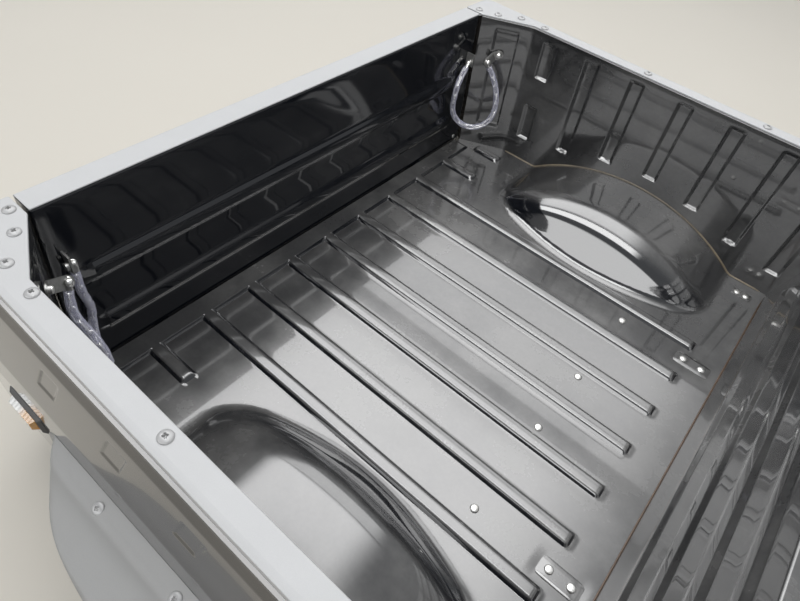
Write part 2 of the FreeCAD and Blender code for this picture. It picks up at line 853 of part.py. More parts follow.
def chain_anchor(points):
    """Bent strap with one leg bolted to the slanted corner wall and one out to the chain's bolt."""
    along_wall = Vector(corner_run - body_gap, corner_inset, 0)
    up_wall = Vector(0, -lean_rate, 1)
    normal = along_wall.cross(up_wall).normalize()
    x = gate_x + anchor_foot[0]
    z = floor_z + anchor_foot[1]
    y = wall_y(z) - corner_inset + (x - bed_rear) * corner_inset / (corner_run - body_gap)
    foot = Vector(x, y, z)
    bolt = by_gate(anchor_bolt)
    inward = (bolt - foot - normal * (bolt - foot).dot(normal)).normalize()
    across = inward.cross(normal)
    bend = foot + inward * anchor_bend + normal * (strap_thick / 2)
    out = bolt - bend
    head = strap_thick / 2 + bolt_head
    wall_leg = strap(anchor_bend).fuse(Part.makeCylinder(bolt_radius, head, Vector(anchor_bend, 0, 0)))
    chain_leg = strap(out.Length)
    chain_leg = chain_leg.fuse(Part.makeCylinder(bolt_radius, 2 * head, Vector(out.Length, 0, -head)))
    corner = Part.makeCylinder(strap_thick / 2, strap_width, bend - across * (strap_width / 2), across)
    return fused([placed(wall_leg, bend, -inward, across), placed(chain_leg, bend, out, across),
                  corner, stud(points[-1], points[-2])])


def chain_tab(points):
    """Thin tab standing off the tailgate, with the bolt that holds the chain."""
    half = strap_thick / 2
    centre = by_gate(tab_bolt)
    tab_y = centre.y + tab_side
    plate = box(gate_x, centre.x + tab_edge, tab_y - half, tab_y + half,
                centre.z - tab_below, centre.z + tab_above)
    bolt = rod_y(bolt_radius, centre.x, centre.z, centre.y - half, tab_y + half + bolt_head)
    return fused([plate, bolt, stud(points[0], points[1])])


def dump_striker():
    """Loop that the dump latch holds, hung from the front channel."""
    x = gate_x + channels[3][1]
    low = under_channel - striker_drop
    side = striker_half_width
    points = [Vector(x, -side, under_channel), Vector(x, -side, low), Vector(x, side, low),
              Vector(x, side, under_channel)]
    return tube_along(points, striker_radius)[0]


def strut_bracket():
    """Bored lug on the left beam for the lift strut's pin."""
    start = beam_y + beam_width / 2
    x = gate_x + strut_x
    z = (under_beam + under_channel) / 2
    foot = box(x - strut_outer, x + strut_outer, start, start + beam_wall, under_beam, under_channel)
    lug = rod_y(strut_outer, x, z, start, start + strut_reach)
    return foot.fuse(lug).cut(rod_y(strut_bore_radius, x, z, start, start + strut_reach))


def marker_base():
    press = pressed(marker_length, marker_height, marker_base_depth, marker_base_depth)
    return placed(press, Vector(marker_x, skin_widest, floor_z + marker_z), (1, 0, 0), (0, 0, -1))


def marker_lens():
    length = marker_length - 4 * marker_base_depth
    height = marker_height - 3 * marker_base_depth
    press = pressed(length, height, marker_lens_depth, marker_lens_depth / 2)
    place = Vector(marker_x, skin_widest + marker_base_depth, floor_z + marker_z)
    return placed(press, place, (1, 0, 0), (0, 0, -1))


def lamp_housing():
    rear = gate_x - gate_thick
    press = pressed(lamp_height, lamp_width, lamp_base_depth, lamp_base_depth / 2)
    middle = floor_z + lamp_bottom + lamp_height / 2
    return placed(press, Vector(rear, floor_half_width - lamp_inset, middle), (0, 0, 1), (0, 1, 0))


def lamp_lens():
    rear = gate_x - gate_thick - lamp_base_depth
    press = pressed(lamp_height - lamp_rim, lamp_width - lamp_rim, lamp_lens_depth, lamp_lens_depth / 2)
    middle = floor_z + lamp_bottom + lamp_height / 2
    return placed(press, Vector(rear, floor_half_width - lamp_inset, middle), (0, 0, 1), (0, 1, 0))


single_pieces = {
    "floor_pan": floor_pan,
    "front_panel": front_panel,
    "gate_inner": gate_inner,
    "gate_outer": gate_outer,
    "gate_cap": gate_cap,
    "gate_handle": gate_handle,
    "dump_striker": dump_striker,
    "strut_bracket": strut_bracket,
}
paired_pieces = {
    "side_inner": side_inner,
    "side_outer": side_outer,
    "corner_post": corner_post,
    "rail_cap": rail_cap,
    "fender_flare": fender_flare,
    "marker_base": marker_base,
    "marker_lens": marker_lens,
    "lamp_housing": lamp_housing,
    "lamp_lens": lamp_lens,
    "beam": beam,
    "hinge_ear": hinge_ear,
    "gate_pivot": gate_pivot,
    "gate_hinge": gate_hinge,
}
chain_pieces = {
    "chain_anchor": chain_anchor,
    "chain_tab": chain_tab,
    "chain": chain,
}


def build():
    os.makedirs("parts", exist_ok=True)
    shapes = {name: make() for name, make in single_pieces.items()}
    for name, place, half in channels:
        shapes[name] = channel(place, half)
    for name, make in paired_pieces.items():
        left = make()
        shapes[name + "_left"] = left
        shapes[name + "_right"] = other_side(left)
    for name, make in chain_pieces.items():
        for side, route in chain_routes.items():
            piece = make([by_gate(place) for place in route])
            shapes[name + "_" + side] = other_side(piece) if side == "right" else piece
    for name, shape in shapes.items():
        solids = shape.Solids
        if len(solids) != 1 or not shape.isValid():
            print("check", name, len(solids), shape.isValid())
        shape = solids[0] if len(solids) == 1 else shape
        shape.exportStep("parts/" + name + ".step")
    print(len(shapes), "pieces")


build()
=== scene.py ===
import math

import bmesh
import bpy
import numpy as np
from mathutils import Matrix, Vector


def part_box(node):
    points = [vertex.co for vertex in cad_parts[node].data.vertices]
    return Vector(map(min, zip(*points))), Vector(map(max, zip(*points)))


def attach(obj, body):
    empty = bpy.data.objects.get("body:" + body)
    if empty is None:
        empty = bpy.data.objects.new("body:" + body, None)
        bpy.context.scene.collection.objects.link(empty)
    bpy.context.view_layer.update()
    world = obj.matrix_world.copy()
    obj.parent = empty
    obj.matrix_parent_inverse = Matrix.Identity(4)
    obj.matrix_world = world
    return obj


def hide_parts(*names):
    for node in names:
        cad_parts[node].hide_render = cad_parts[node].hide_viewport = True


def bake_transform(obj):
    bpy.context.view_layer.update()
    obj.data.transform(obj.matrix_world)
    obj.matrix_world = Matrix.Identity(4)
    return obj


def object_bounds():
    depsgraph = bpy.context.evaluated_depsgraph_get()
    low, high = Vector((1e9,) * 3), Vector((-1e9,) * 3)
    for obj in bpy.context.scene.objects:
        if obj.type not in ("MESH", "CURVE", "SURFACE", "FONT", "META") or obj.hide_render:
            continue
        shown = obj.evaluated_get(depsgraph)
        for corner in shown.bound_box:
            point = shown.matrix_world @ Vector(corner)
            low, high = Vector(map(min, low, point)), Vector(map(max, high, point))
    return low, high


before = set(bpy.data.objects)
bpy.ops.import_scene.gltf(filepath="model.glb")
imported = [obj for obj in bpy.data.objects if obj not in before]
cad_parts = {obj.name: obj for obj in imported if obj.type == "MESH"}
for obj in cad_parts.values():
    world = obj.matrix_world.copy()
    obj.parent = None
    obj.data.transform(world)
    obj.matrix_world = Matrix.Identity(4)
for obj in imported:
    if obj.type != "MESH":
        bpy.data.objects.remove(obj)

cad_box = [list(corner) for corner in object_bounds()]

# Floor pan: one deep drawn steel stamping, with seven long ribs, four short ones, a raised sill behind
# and both wheelhouses. It is dipped and painted gloss black, and a thin haze of dust lies on it.
floor_low, floor_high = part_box("floor_pan")
sheet = 0.002
floor_z = floor_low.z + sheet
bed_rear = floor_low.x
gate_x = bed_rear - 0.005
front_foot = floor_high.x - 0.018
floor_length = front_foot - gate_x
rib_height = 0.008
rib_foot, rib_side = 0.016, 0.011
ribs = [  # place across, rear end, front end, from the tailgate
    (line * 0.106, -0.1, 0.779) for line in range(-3, 4)
]
ribs += [(side * 0.430, -0.1, 0.138) for side in (-1, 1)]
ribs += [(side * 0.545, 0.060, 0.138) for side in (-1, 1)]
sill_front, sill_half = 0.046, 0.530
wheel_x, wheel_radius, wheel_height = 0.486, 0.431, 0.095
wheel_flat, wheel_arc, wheel_bend = 0.460, 0.0902, math.radians(54)
wheel_inner, wheel_outer = 0.345, 0.620
wheel_fillet = 0.030
wheel_depth = wheel_radius - wheel_height  # of its axis under the floor
tie_plates = [  # ahead of the tailgate, across, length, width
    (0.791, 0.272, 0.072, 0.034),
    (0.791, -0.272, 0.072, 0.034),
]


def spaced(low, high, step, close=(), close_step=0.001, reach=0.004):
    """Places from low to high an even step apart, and closer ones within reach of each place in close."""
    even = np.linspace(low, high, 1 + max(1, round((high - low) / step)))
    near = [np.arange(-reach, reach + close_step / 2, close_step) + place for place in close]
    places = np.unique(np.clip(np.concatenate([even, *near]), low, high).round(6))
    apart = np.diff(places) > 0.45 * close_step
    return places[np.append(True, apart)]


def ramp(share, soft=0.12):
    """0 before 0 and 1 after 1, straight between, with both corners rounded: half of 1 and the difference of
    the two hyperbolas at 0 and 1."""
    share = np.asarray(share, float)
    return 0.5 * (1.0 + np.hypot(share, soft) - np.hypot(share - 1.0, soft))


def wheel_section(out):
    """The wheelhouse's radius at a place across and its rate: full over the flat top, then falling along an arc
    towards the middle of the bed, and from the arc's end along its tangent."""
    inward = np.clip(wheel_flat - abs(out), 0.0, wheel_arc * math.sin(wheel_bend))
    root = np.sqrt(wheel_arc**2 - inward**2)
    past = np.maximum(wheel_flat - wheel_arc * math.sin(wheel_bend) - abs(out), 0.0)
    radius = wheel_radius - wheel_arc + root - past * math.tan(wheel_bend)
    return np.maximum(radius, 0.0), -inward / root


def wheelhouse(ahead, out):
    """Height of the wheelhouse over the flat. It is turned about an axis across the bed, under the floor: the
    root of r² - dx², less the axis's depth. A round of the fillet's radius joins it to the flat, by the way to
    its foot: inside the height over the slope, outside the distance to the nearest point of the foot."""
    foot_out = wheel_inner + (wheel_outer - wheel_inner) * np.linspace(0, 1, 160) ** 3
    foot_radius, foot_rate = wheel_section(foot_out)
    foot_ahead = np.sqrt(np.maximum(foot_radius**2 - wheel_depth**2, 0.0))
    foot_slope = np.hypot(foot_ahead, foot_radius * foot_rate) / wheel_depth
    radius, rate = wheel_section(out)
    aside = abs(ahead - wheel_x)
    up = np.sqrt(np.maximum(radius**2 - aside**2, 1e-6))
    height = up - wheel_depth
    slope = np.hypot(aside, radius * rate) / up
    away = -height / np.maximum(slope, 1e-3)
    flat = height < 0
    far = np.hypot(aside[flat][:, None] - foot_ahead, abs(out)[flat][:, None] - foot_out)
    away[flat], slope[flat] = far.min(1), foot_slope[far.argmin(1)]
    angle = np.arctan(slope)
    tangent = wheel_fillet * np.tan(angle / 2)
    within = np.clip(tangent - away, 0.0, wheel_fillet)
    fillet = wheel_fillet - np.sqrt(wheel_fillet**2 - within**2)
    height = np.where(away > -tangent * np.cos(angle), fillet, height)
    return np.where(away > tangent, 0.0, height)


def shoulder(share):
    """0 before 0, steep at first and flat by 1: one less (1 - share) squared."""
    return 1.0 - (1.0 - np.clip(share, 0.0, 1.0)) ** 2


def floor_height(ahead, out):
    """Height over the flat: the highest of the ribs and the sill, each 8 mm times its rises along and across,
    and of the wheelhouse, joined softly by half their sum and their difference's hypotenuse with 1.4 mm, less
    the shallow seats of the tie plates."""
    pressed = ramp((sill_front - ahead) / 0.0035) * ramp((sill_half - abs(out)) / 0.008)
    for line, rear, front in ribs:
        across = shoulder((rib_foot - abs(out - line)) / rib_side)
        along = ramp((ahead - rear) / 0.008) * shoulder((front - ahead) / 0.011)
        pressed = np.maximum(pressed, across * along)
    seats = np.zeros_like(pressed)
    for place, line, length, width in tie_plates:
        across = ramp((width / 2 + 0.006 - abs(out - line)) / 0.003)
        seats = np.maximum(seats, across * ramp((length / 2 + 0.006 - abs(ahead - place)) / 0.003))
    ribbed, domed = rib_height * pressed, wheelhouse(ahead, out)
    return 0.5 * (ribbed + domed + np.hypot(ribbed - domed, 0.0014) - 0.0014) - 0.001 * seats


def sheet_metal(name, grids, facing, thickness=0.0, crease=32.0):
    """A mesh from grids of points (rows, columns, 3), a quad to each cell. Edges that meet are welded, the face
    is turned to the side given, and a wall of the thickness is laid behind it."""
    points, quads, start = [], [], 0
    for grid in grids:
        rows, columns = grid.shape[:2]
        index = start + np.arange(rows * columns).reshape(rows, columns)
        quads.append(np.stack([index[:-1, :-1], index[1:, :-1], index[1:, 1:], index[:-1, 1:]], -1).reshape(-1, 4))
        points.append(grid.reshape(-1, 3))
        start += rows * columns
    mesh = bpy.data.meshes.new(name)
    mesh.from_pydata(np.concatenate(points).tolist(), [], np.concatenate(quads).tolist())
    return sheet_object(name, mesh, facing, thickness, crease)


def sheet_object(name, mesh, facing, thickness, crease):
    """Welds a mesh, turns it to the side given, or outwards where it is closed and no side is given, thickens
    it, and marks its sharp edges."""
    work = bmesh.new()
    work.from_mesh(mesh)
    bmesh.ops.remove_doubles(work, verts=work.verts, dist=2e-5)
    bmesh.ops.dissolve_degenerate(work, edges=work.edges, dist=1e-6)
    bmesh.ops.recalc_face_normals(work, faces=work.faces)
    toward = sum(face.calc_area() * face.normal.dot(facing) for face in work.faces) if facing else 1
    if toward < 0:
        bmesh.ops.reverse_faces(work, faces=work.faces)
    work.to_mesh(mesh)
    work.free()
    piece = bpy.data.objects.new(name, mesh)
    bpy.context.scene.collection.objects.link(piece)
    if thickness:
        wall = piece.modifiers.new("wall", "SOLIDIFY")
        wall.thickness, wall.offset, wall.use_even_offset = thickness, -1.0, True
        ready = piece.evaluated_get(bpy.context.evaluated_depsgraph_get())
        piece.data = bpy.data.meshes.new_from_object(ready)
        piece.modifiers.clear()
    piece.data.shade_smooth()
    piece.data.set_sharp_from_angle(angle=math.radians(crease))
    return piece


class Wire:
    """A shader socket that takes part in arithmetic: each operator adds its Math node."""

    def __init__(self, tree, socket=None):
        self.tree, self.socket = tree, socket

    def node(self, kind, settings, sockets, output=0):
        """Any node: its type, the settings that come first, then values or links for its sockets."""
        made = self.tree.nodes.new("ShaderNode" + kind)
        for name, value in settings.items():
            setattr(made, name, value)
        for name, value in sockets.items():
            if isinstance(value, Wire):
                self.tree.links.new(value.socket, made.inputs[name])
            else:
                made.inputs[name].default_value = value
        return Wire(self.tree, made.outputs[output] if made.outputs else None)

    def math(self, operation, first, second=0.0):
        return self.node("Math", {"operation": operation}, {0: first, 1: second})

    def __add__(self, other):
        return self.math("ADD", self, other)

    def __sub__(self, other):
        return self.math("SUBTRACT", self, other)

    def __rsub__(self, other):
        return self.math("SUBTRACT", other, self)

    def __mul__(self, other):
        return self.math("MULTIPLY", self, other)

    __radd__ = __add__
    __rmul__ = __mul__

    def step(self, low, high):
        """A smooth step from 0 at low to 1 at high."""
        return self.node("MapRange", {"interpolation_type": "SMOOTHSTEP"},
                         {"Value": self, "From Min": low, "From Max": high})

    def tint(self, bare, covered):
        """A colour that goes from the bare one to the covered one as this goes from 0 to 1."""
        return self.node("Mix", {"data_type": "RGBA"}, {0: self, 6: bare, 7: covered}, 2)


def started(name):
    """A new material, its tree as a Wire, and the piece's own coordinates."""
    finish = bpy.data.materials.new(name)
    finish.use_nodes = True
    finish.node_tree.nodes.clear()
    tree = Wire(finish.node_tree)
    return finish, tree, tree.node("TexCoord", {}, {}, 3)


def grain(place, scale, detail=2.0, roughness=0.5, offset=(0.0, 0.0, 0.0)):
    """Smooth noise from 0 to 1, with this many cells to the metre."""
    moved = place.node("Mapping", {}, {"Vector": place, "Location": offset})
    return place.node("TexNoise", {}, {"Vector": moved, "Scale": scale, "Detail": detail, "Roughness": roughness})


def relief(height):
    """A bump from a height in metres."""
    return height.node("Bump", {}, {"Height": height, "Strength": 1.0, "Distance": 1.0})


def closed_with(tree, sockets):
    """Ends a material: its values go into a principled shader, and that into the output."""
    shader = tree.node("BsdfPrincipled", {}, sockets)
    tree.node("OutputMaterial", {}, {"Surface": shader})


def gloss_paint(name, dust, peel, settles=-0.2, coat=1.0, dust_and_reflection_tint=(0.46, 0.45, 0.43, 1), wave=0.0001):
    """Black gloss enamel under a clear coat: fine orange peel and slow waves in its height, and dust in slow
    patches, thicker on what faces up and none on what faces down more than settles says. The dust takes the
    tint given, which on the skins is brown, partly a painted reflection of the brown ground."""
    finish, tree, place = started(name)
    facing = tree.node("SeparateXYZ", {}, {0: tree.node("NewGeometry", {}, {}, 1)}, 2)
    patches = grain(place, 5.0, 4.0, 0.6).step(0.35, 0.75)
    specks = grain(place, 160.0, 3.0)
    film = (0.35 + patches * 0.65) * (0.60 + specks * 0.25) * facing.step(settles, 0.9) * dust
    height = grain(place, 420.0, 1.0) * peel + grain(place, 11.0, 1.0) * wave
    closed_with(tree, {
        "Base Color": film.tint((0.006, 0.007, 0.010, 1), dust_and_reflection_tint),
        "Roughness": 0.08 + film * 0.9,
        "IOR": 1.6,
        "Coat Weight": coat, "Coat Roughness": 0.04, "Coat IOR": 1.6,
        "Normal": relief(height)})
    return finish


def fitted(piece, body, slot, finish, *nodes):
    """Fixes a new piece to its body, with its finish, in place of the solids that it stands for."""
    piece.data.materials.clear()
    piece.data.materials.append(finish)
    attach(piece, body)
    if nodes:
        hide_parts(*nodes)
    return piece


floor_paint = gloss_paint("floor_paint", 0.36, 0.000006, 0.72, 0.8)
rib_lines = [line + side * 0.0115 for line, _, _ in ribs for side in (-1, 1)]
ahead = spaced(bed_rear - gate_x, floor_high.x - gate_x, 0.0074, (0.0445, 0.064, 0.132, 0.773), 0.0015, 0.0055)
middle = spaced(-0.335, 0.335, 0.0110, [line for line in rib_lines if abs(line) < 0.335], 0.0014, 0.0055)
outer = spaced(0.339, floor_high.y, 0.0052, [line for line in rib_lines if line > 0.339], 0.0014, 0.0055)
across = np.concatenate([-outer[::-1], middle, outer])
ahead, across = np.meshgrid(ahead, across, indexing="ij")
pan = np.stack([gate_x + ahead, across, floor_z + floor_height(ahead, across)], -1)
fitted(sheet_metal("floor", [pan], (0, 0, 1), sheet), "bed", "bed_paint", floor_paint, "floor_pan")

# Sealer: tan seam compound run along the foot of each side wall, over the wheelhouse, and a rusty line
# where the floor meets the front panel. It is gunned on before the paint and left soft.
wall_height, shelf_up = 0.341, 0.338  # over the floor: the rail's top, and the wall's own
wall_top = floor_z + shelf_up
lean_rate = 0.025 / wall_height
front_rate = 0.078 / wall_height
half_width = 0.600
both_sides = ((1, "left"), (-1, "right"))


def half_round_bead(name, path, wide, high):
    """A soft bead laid along points: an ellipse square to the path, upright, that dies away at both ends."""
    along = np.gradient(path, axis=0)
    along /= np.linalg.norm(along, axis=1, keepdims=True)
    side = np.cross(along, (0.0, 0.0, 1.0))
    side /= np.linalg.norm(side, axis=1, keepdims=True)
    up = np.cross(side, along)
    ends = np.minimum(np.arange(len(path)), np.arange(len(path))[::-1])
    fade = np.sqrt(np.clip(ends / 4, 0, 1))[:, None, None]
    angle = np.linspace(0, 2 * math.pi, 11)[None, :, None]
    ring = wide * np.cos(angle) * side[:, None] + high * np.sin(angle) * up[:, None]
    return sheet_metal(name, [path[:, None] + fade * ring], (0, 0, 1), crease=80)


def seam_compound(name, colour, painted=(9.0, 9.1)):
    """Seam compound, a little uneven, and dark where the paint still covers it: from one place along, over which
    it fades in, to 0.34 m past it."""
    finish, tree, place = started(name)
    tone = grain(place, 60.0, 3.0)
    along = tree.node("SeparateXYZ", {}, {0: place}, 0)
    tone = tone.math("MAXIMUM", tone, along.step(*painted) * (1.0 - (along - 0.34).step(*painted)) * 1.55)
    closed_with(tree, {
        "Base Color": tone.tint(colour, tuple(0.35 * part for part in colour[:3]) + (1,)),
        "Roughness": 0.5,
        "Normal": relief(grain(place, 500.0) * 0.0001)})
    return finish


tan_sealer = seam_compound("tan_sealer", (0.36, 0.29, 0.19, 1), (0.12, 0.20))
rusty_sealer = seam_compound("rusty_sealer", (0.17, 0.10, 0.06, 1))
seam = np.linspace(0.120, floor_length - 0.012, 200)
over = wheelhouse(seam, np.full_like(seam, half_width))
for side, word in both_sides:
    height = floor_z + np.maximum(over, 0.0)
    line = np.stack([gate_x + seam, side * (half_width - lean_rate * (height - floor_z) - 0.0004), height], -1)
    bead = half_round_bead("sealer_" + word, line, 0.0022, 0.0026)
    fitted(bead, "bed", "bed_paint", tan_sealer)
across = np.linspace(-0.58, 0.58, 90)
line = np.stack([np.full_like(across, front_foot - 0.0008), across, np.full_like(across, floor_z + 0.0004)], -1)
fitted(half_round_bead("sealer_front", line, 0.0012, 0.0010), "bed", "bed_paint", rusty_sealer)

# Side inner walls: each one steel pressing with eight slots pushed outwards, bent inward beside the
# tailgate, and turned out at the top to carry the rail. Spot welded to the floor and painted with it.
wall_bend = gate_x + 0.112
corner_run, corner_in = wall_bend - bed_rear, 0.054
wall_slope = corner_in / corner_run
slots = [  # ahead of the tailgate, bottom, top
    (0.164, 0.228, 0.318), (0.160, 0.060, 0.156), (0.2725, 0.079, 0.321), (0.382, 0.112, 0.321),
    (0.4935, 0.125, 0.321), (0.606, 0.107, 0.321), (0.715, 0.074, 0.321), (0.823, 0.056, 0.321),
]


def wall_foot(x):
    """Half width of the bed at the floor: straight, then inward along the corner wall from a rounded bend."""
    behind = wall_bend - x
    return half_width - wall_slope * 0.5 * (behind + np.hypot(behind, 0.006))


def arch_height(x, radius):
    """Height over the floor of a circle about the wheel's axis: the root of r² - dx², less the axis's depth."""
    return np.sqrt(np.maximum(radius**2 - (x - gate_x - wheel_x) ** 2, 0)) - wheel_depth


def slot_depth(x, up):
    """How far out the slots go, 7 mm times a ramp across and one along each of them, and the broad shallow
    panel of the corner wall."""
    depth = np.zeros_like(x)
    for place, low, high in slots:
        wide = ramp((0.018 - abs(x - gate_x - place)) / 0.0065, 0.06)
        tall = ramp((up - low) / 0.0052, 0.03) * ramp((high - up) / 0.007)
        depth = np.maximum(depth, 0.007 * wide * tall)
    corner = ramp((0.026 - abs(x - gate_x - 0.062)) / 0.004) * ramp((up - 0.060) / 0.012) * ramp((0.318 - up) / 0.01)
    return np.maximum(depth, 0.003 * corner)


wall_paint = gloss_paint("wall_paint", 0.40, 0.000014, -1.5)
edges = [gate_x + place + side * 0.0148 for place, _, _ in slots[1:] for side in (-1, 1)]
edges += [wall_bend, gate_x + 0.038, gate_x + 0.086]
column = spaced(bed_rear, gate_x + 0.8455, 0.012, edges, 0.0012, 0.0050)
slot_ends = [0.0595, 0.0635, 0.0775, 0.0825, 0.1105, 0.1155, 0.1285, 0.1525, 0.2315, 0.3145, 0.3175]
row = spaced(0.0, 0.335, 0.010, slot_ends, 0.0012, 0.005)
x, up = np.meshgrid(column, row, indexing="ij")
lowest = np.maximum(arch_height(x, wheel_radius), 0.0)
over_arch = 0.130
up = np.where(up < over_arch, lowest + up / over_arch * (over_arch - lowest), up)
last = gate_x + 0.8425
x = np.where(x > last, last + (x - last) / (column[-1] - last) * (front_foot + front_rate * up - last), x)
inner = np.stack([x, wall_foot(x) - lean_rate * up + slot_depth(x, up), floor_z + up], -1)
turn = np.linspace(0, math.pi / 2, 7)
bent = inner[:, -1:] + 0.003 * np.stack([0 * turn, 1 - np.cos(turn), np.sin(turn)], -1)
shelf = np.concatenate([bent, bent[:, -1:] * (1, 0, 1) + (0, 0.5905, 0)], 1)
for side, word in both_sides:
    grids = [part * (1, side, 1) for part in (inner, shelf)]
    wall = sheet_metal("side_wall_" + word, grids, (0, -side, 0.0), 0.0015)
    fitted(wall, "bed", "bed_paint", wall_paint, "side_inner_" + word)

# Front panel: a steel headboard that leans forward, with four long beads pushed into the bed, a foot
# flange on the floor and its top edge folded forward and down. Welded to both side walls.
beads = [(0.058, 0.084), (0.122, 0.160), (0.198, 0.236), (0.272, 0.304)]


def rounded(corners, radii, steps=6):
    """A line of points through corners, each rounded by an arc of its radius, which touches both its sides."""
    corners = np.asarray(corners, float)
    line = [corners[:1]]
    for before, corner, after, radius in zip(corners, corners[1:], corners[2:], radii):
        back, ahead = before - corner, after - corner
        back, ahead = back / np.linalg.norm(back), ahead / np.linalg.norm(ahead)
        half = math.acos(np.clip(-back @ ahead, -1, 1)) / 2
        if radius <= 0 or half < 1e-3:
            line.append(corner[None])
            continue
        middle = corner + (back + ahead) / np.linalg.norm(back + ahead) * radius / math.cos(half)
        start = corner + back * radius * math.tan(half) - middle
        end = corner + ahead * radius * math.tan(half) - middle
        share = np.linspace(0, 1, steps)[:, None]
        arc = np.sin((1 - share) * 2 * half) * start + np.sin(share * 2 * half) * end
        line.append(middle + arc / math.sin(2 * half))
    line.append(corners[-1:])
    return np.concatenate(line)


def inside_skins(up):
    """Half the width between the two outer skins at a height over the floor."""
    return np.interp(up, [-0.035, 0.150, 0.200, 0.295, 0.307, 0.319, 0.324, 0.338],
                     [0.6445, 0.6445, 0.6395, 0.6175, 0.6105, 0.6115, 0.6055, 0.6055])


front_paint = gloss_paint("front_paint", 0.42, 0.000012, -0.8, wave=0.00005)
bead_edges = [edge + way * 0.0055 for low, high in beads for edge, way in ((low, 1), (high, -1))]
rise = spaced(0.0, 0.334, 0.012, bead_edges, 0.001, 0.007)
across = spaced(-0.570, 0.570, 0.020, (-0.5375, 0.5375), 0.001)
rise, across = np.meshgrid(rise, across, indexing="ij")
proud = np.zeros_like(rise)
for low, high in beads:
    proud = np.maximum(proud, 0.0045 * ramp((rise - low) / 0.011) * ramp((high - rise) / 0.011))
proud = proud * ramp((0.540 - abs(across)) / 0.005)
lean = math.atan(front_rate)
panel = np.stack([front_foot + front_rate * rise - proud * math.cos(lean), across,
                  floor_z + rise + proud * math.sin(lean)], -1)
sides = []
for side in (-1, 1):
    edge = panel[:, 0 if side < 0 else -1]
    far = edge.copy()
    far[:, 1] = side * inside_skins(edge[:, 2] - floor_z)
    sides.append(np.stack([edge, far], 1))
top = front_foot + front_rate * shelf_up
fold_deep, fold_half = 0.040, 0.6055
fold = [panel[-1, 0, [0, 2]], (top, wall_top), (top + fold_deep, wall_top), (top + fold_deep, wall_top - 0.022)]
fold = rounded(fold, (0.0032, 0.003))
fold = np.array([[(x, y, z) for y in (-fold_half, -0.570, 0.570, fold_half)] for x, z in fold])
foot = np.array([[(x, y, floor_z) for y in (-fold_half, fold_half)] for x in (front_foot, front_foot + 0.018)])
headboard = sheet_metal("headboard", [panel, *sides, fold, foot], (-1, 0, 0.2), 0.0015)
fitted(headboard, "bed", "bed_paint", front_paint, "front_panel")

# Outer skins: one steel pressing a side, with a fold and a concave band under the rail, six slanted
# diamonds, the wheel arch and a turned hem. They carry the same gloss black, under a thin dust whose brown
# tint is partly tan dust and partly a painted reflection of the brown ground.
skin_low, skin_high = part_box("side_outer_left")
skin_profile = [(0.591, 0.338), (0.607, 0.338), (0.607, 0.324), (0.614, 0.319), (0.612, 0.307), (0.619, 0.295),
                (0.641, 0.200), (0.646, 0.150), (0.646, -0.035)]
arch_radius, hem_down = 0.429, 0.035
diamonds = gate_x + 0.196 + 0.130 * np.arange(6)

# The skins' dust is tinted brown: partly tan dust, partly a painted reflection of the brown ground.
skin_paint = gloss_paint("skin_paint", 0.22, 0.00001, -1.5, 0.7, (0.50, 0.42, 0.32, 1))
profile = rounded(skin_profile, (0.003, 0.004, 0.0022, 0.0022, 0.010, 0.05, 0.05))
arc_length = np.append(0, np.cumsum(np.linalg.norm(np.diff(profile, axis=0), axis=1)))
diamond_up, diamond_half = 0.262, 0.018
diamond_at = np.interp(diamond_up, profile[::-1, 1], arc_length[::-1])
stations = spaced(0.0, arc_length[-1], 0.012, arc_length[1:-1], 0.0006, 0.0)
stations = np.unique(np.concatenate([stations, np.arange(-0.024, 0.0241, 0.0015) + diamond_at]).round(6))
out = np.interp(stations, arc_length, profile[:, 0])
up = np.interp(stations, arc_length, profile[:, 1])
near = [spot + side * diamond_half for spot in diamonds for side in (-1, 1)]
opening = math.sqrt(arch_radius**2 - (wheel_depth - hem_down) ** 2)
arch_ends = [gate_x + wheel_x - opening, gate_x + wheel_x + opening]
column = spaced(skin_low.x, skin_high.x, 0.014, near, 0.0018, 0.012)
column = np.unique(np.concatenate([column, arch_ends]).round(6))
x, out = np.meshgrid(column, out, indexing="ij")
up = np.broadcast_to(up, x.shape)
lowest = np.maximum(arch_height(x, arch_radius), -hem_down)
over_arch = 0.150
up = np.where(up < over_arch, lowest + (up + hem_down) / (hem_down + over_arch) * (over_arch - lowest), up)
tall = (up - diamond_up) / diamond_half
depth = np.zeros_like(x)
for spot in diamonds:
    wide = ramp((diamond_half - abs(x - spot - 0.0072 * tall)) / 0.0022)
    depth = np.maximum(depth, 0.0016 * wide * ramp((diamond_half - abs(up - diamond_up)) / 0.0022))
front_edge = skin_high.x
leaning = front_foot + front_rate * up + fold_deep
x = np.where(x > front_foot, front_foot + (x - front_foot) / (front_edge - front_foot) * (leaning - front_foot), x)
skin = np.stack([x, out - depth, floor_z + up], -1)
hems = []
for part in (column <= arch_ends[0] + 1e-6, column >= arch_ends[1] - 1e-6):
    edge = skin[part, -1]
    hems.append(np.stack([edge, edge - (0, 0.026, 0)], 1))
for side, word in both_sides:
    grids = [part * (1, side, 1) for part in (skin, *hems)]
    panel = sheet_metal("outer_skin_" + word, grids, (0, side, 0.0), 0.0015)
    fitted(panel, "bed", "bed_paint", skin_paint, "side_outer_" + word)

# Corner posts: folded steel jambs beside the tailgate, welded between the walls and the skins. The
# gate's barrels are welded to the rear channel, and the frame under the floor is satin black.


def satin_paint(name, shade, rough):
    """Satin black: even, a little uneven in gloss, with a fine grain."""
    finish, tree, place = started(name)
    dusty = (1.9 * shade, 1.8 * shade, 1.7 * shade, 1)
    closed_with(tree, {
        "Base Color": grain(place, 9.0, 4.0).tint((shade, shade, shade, 1), dusty),
        "Roughness": rough + grain(place, 30.0, 3.0) * 0.15,
        "Normal": relief(grain(place, 700.0) * 0.00003)})
    return finish


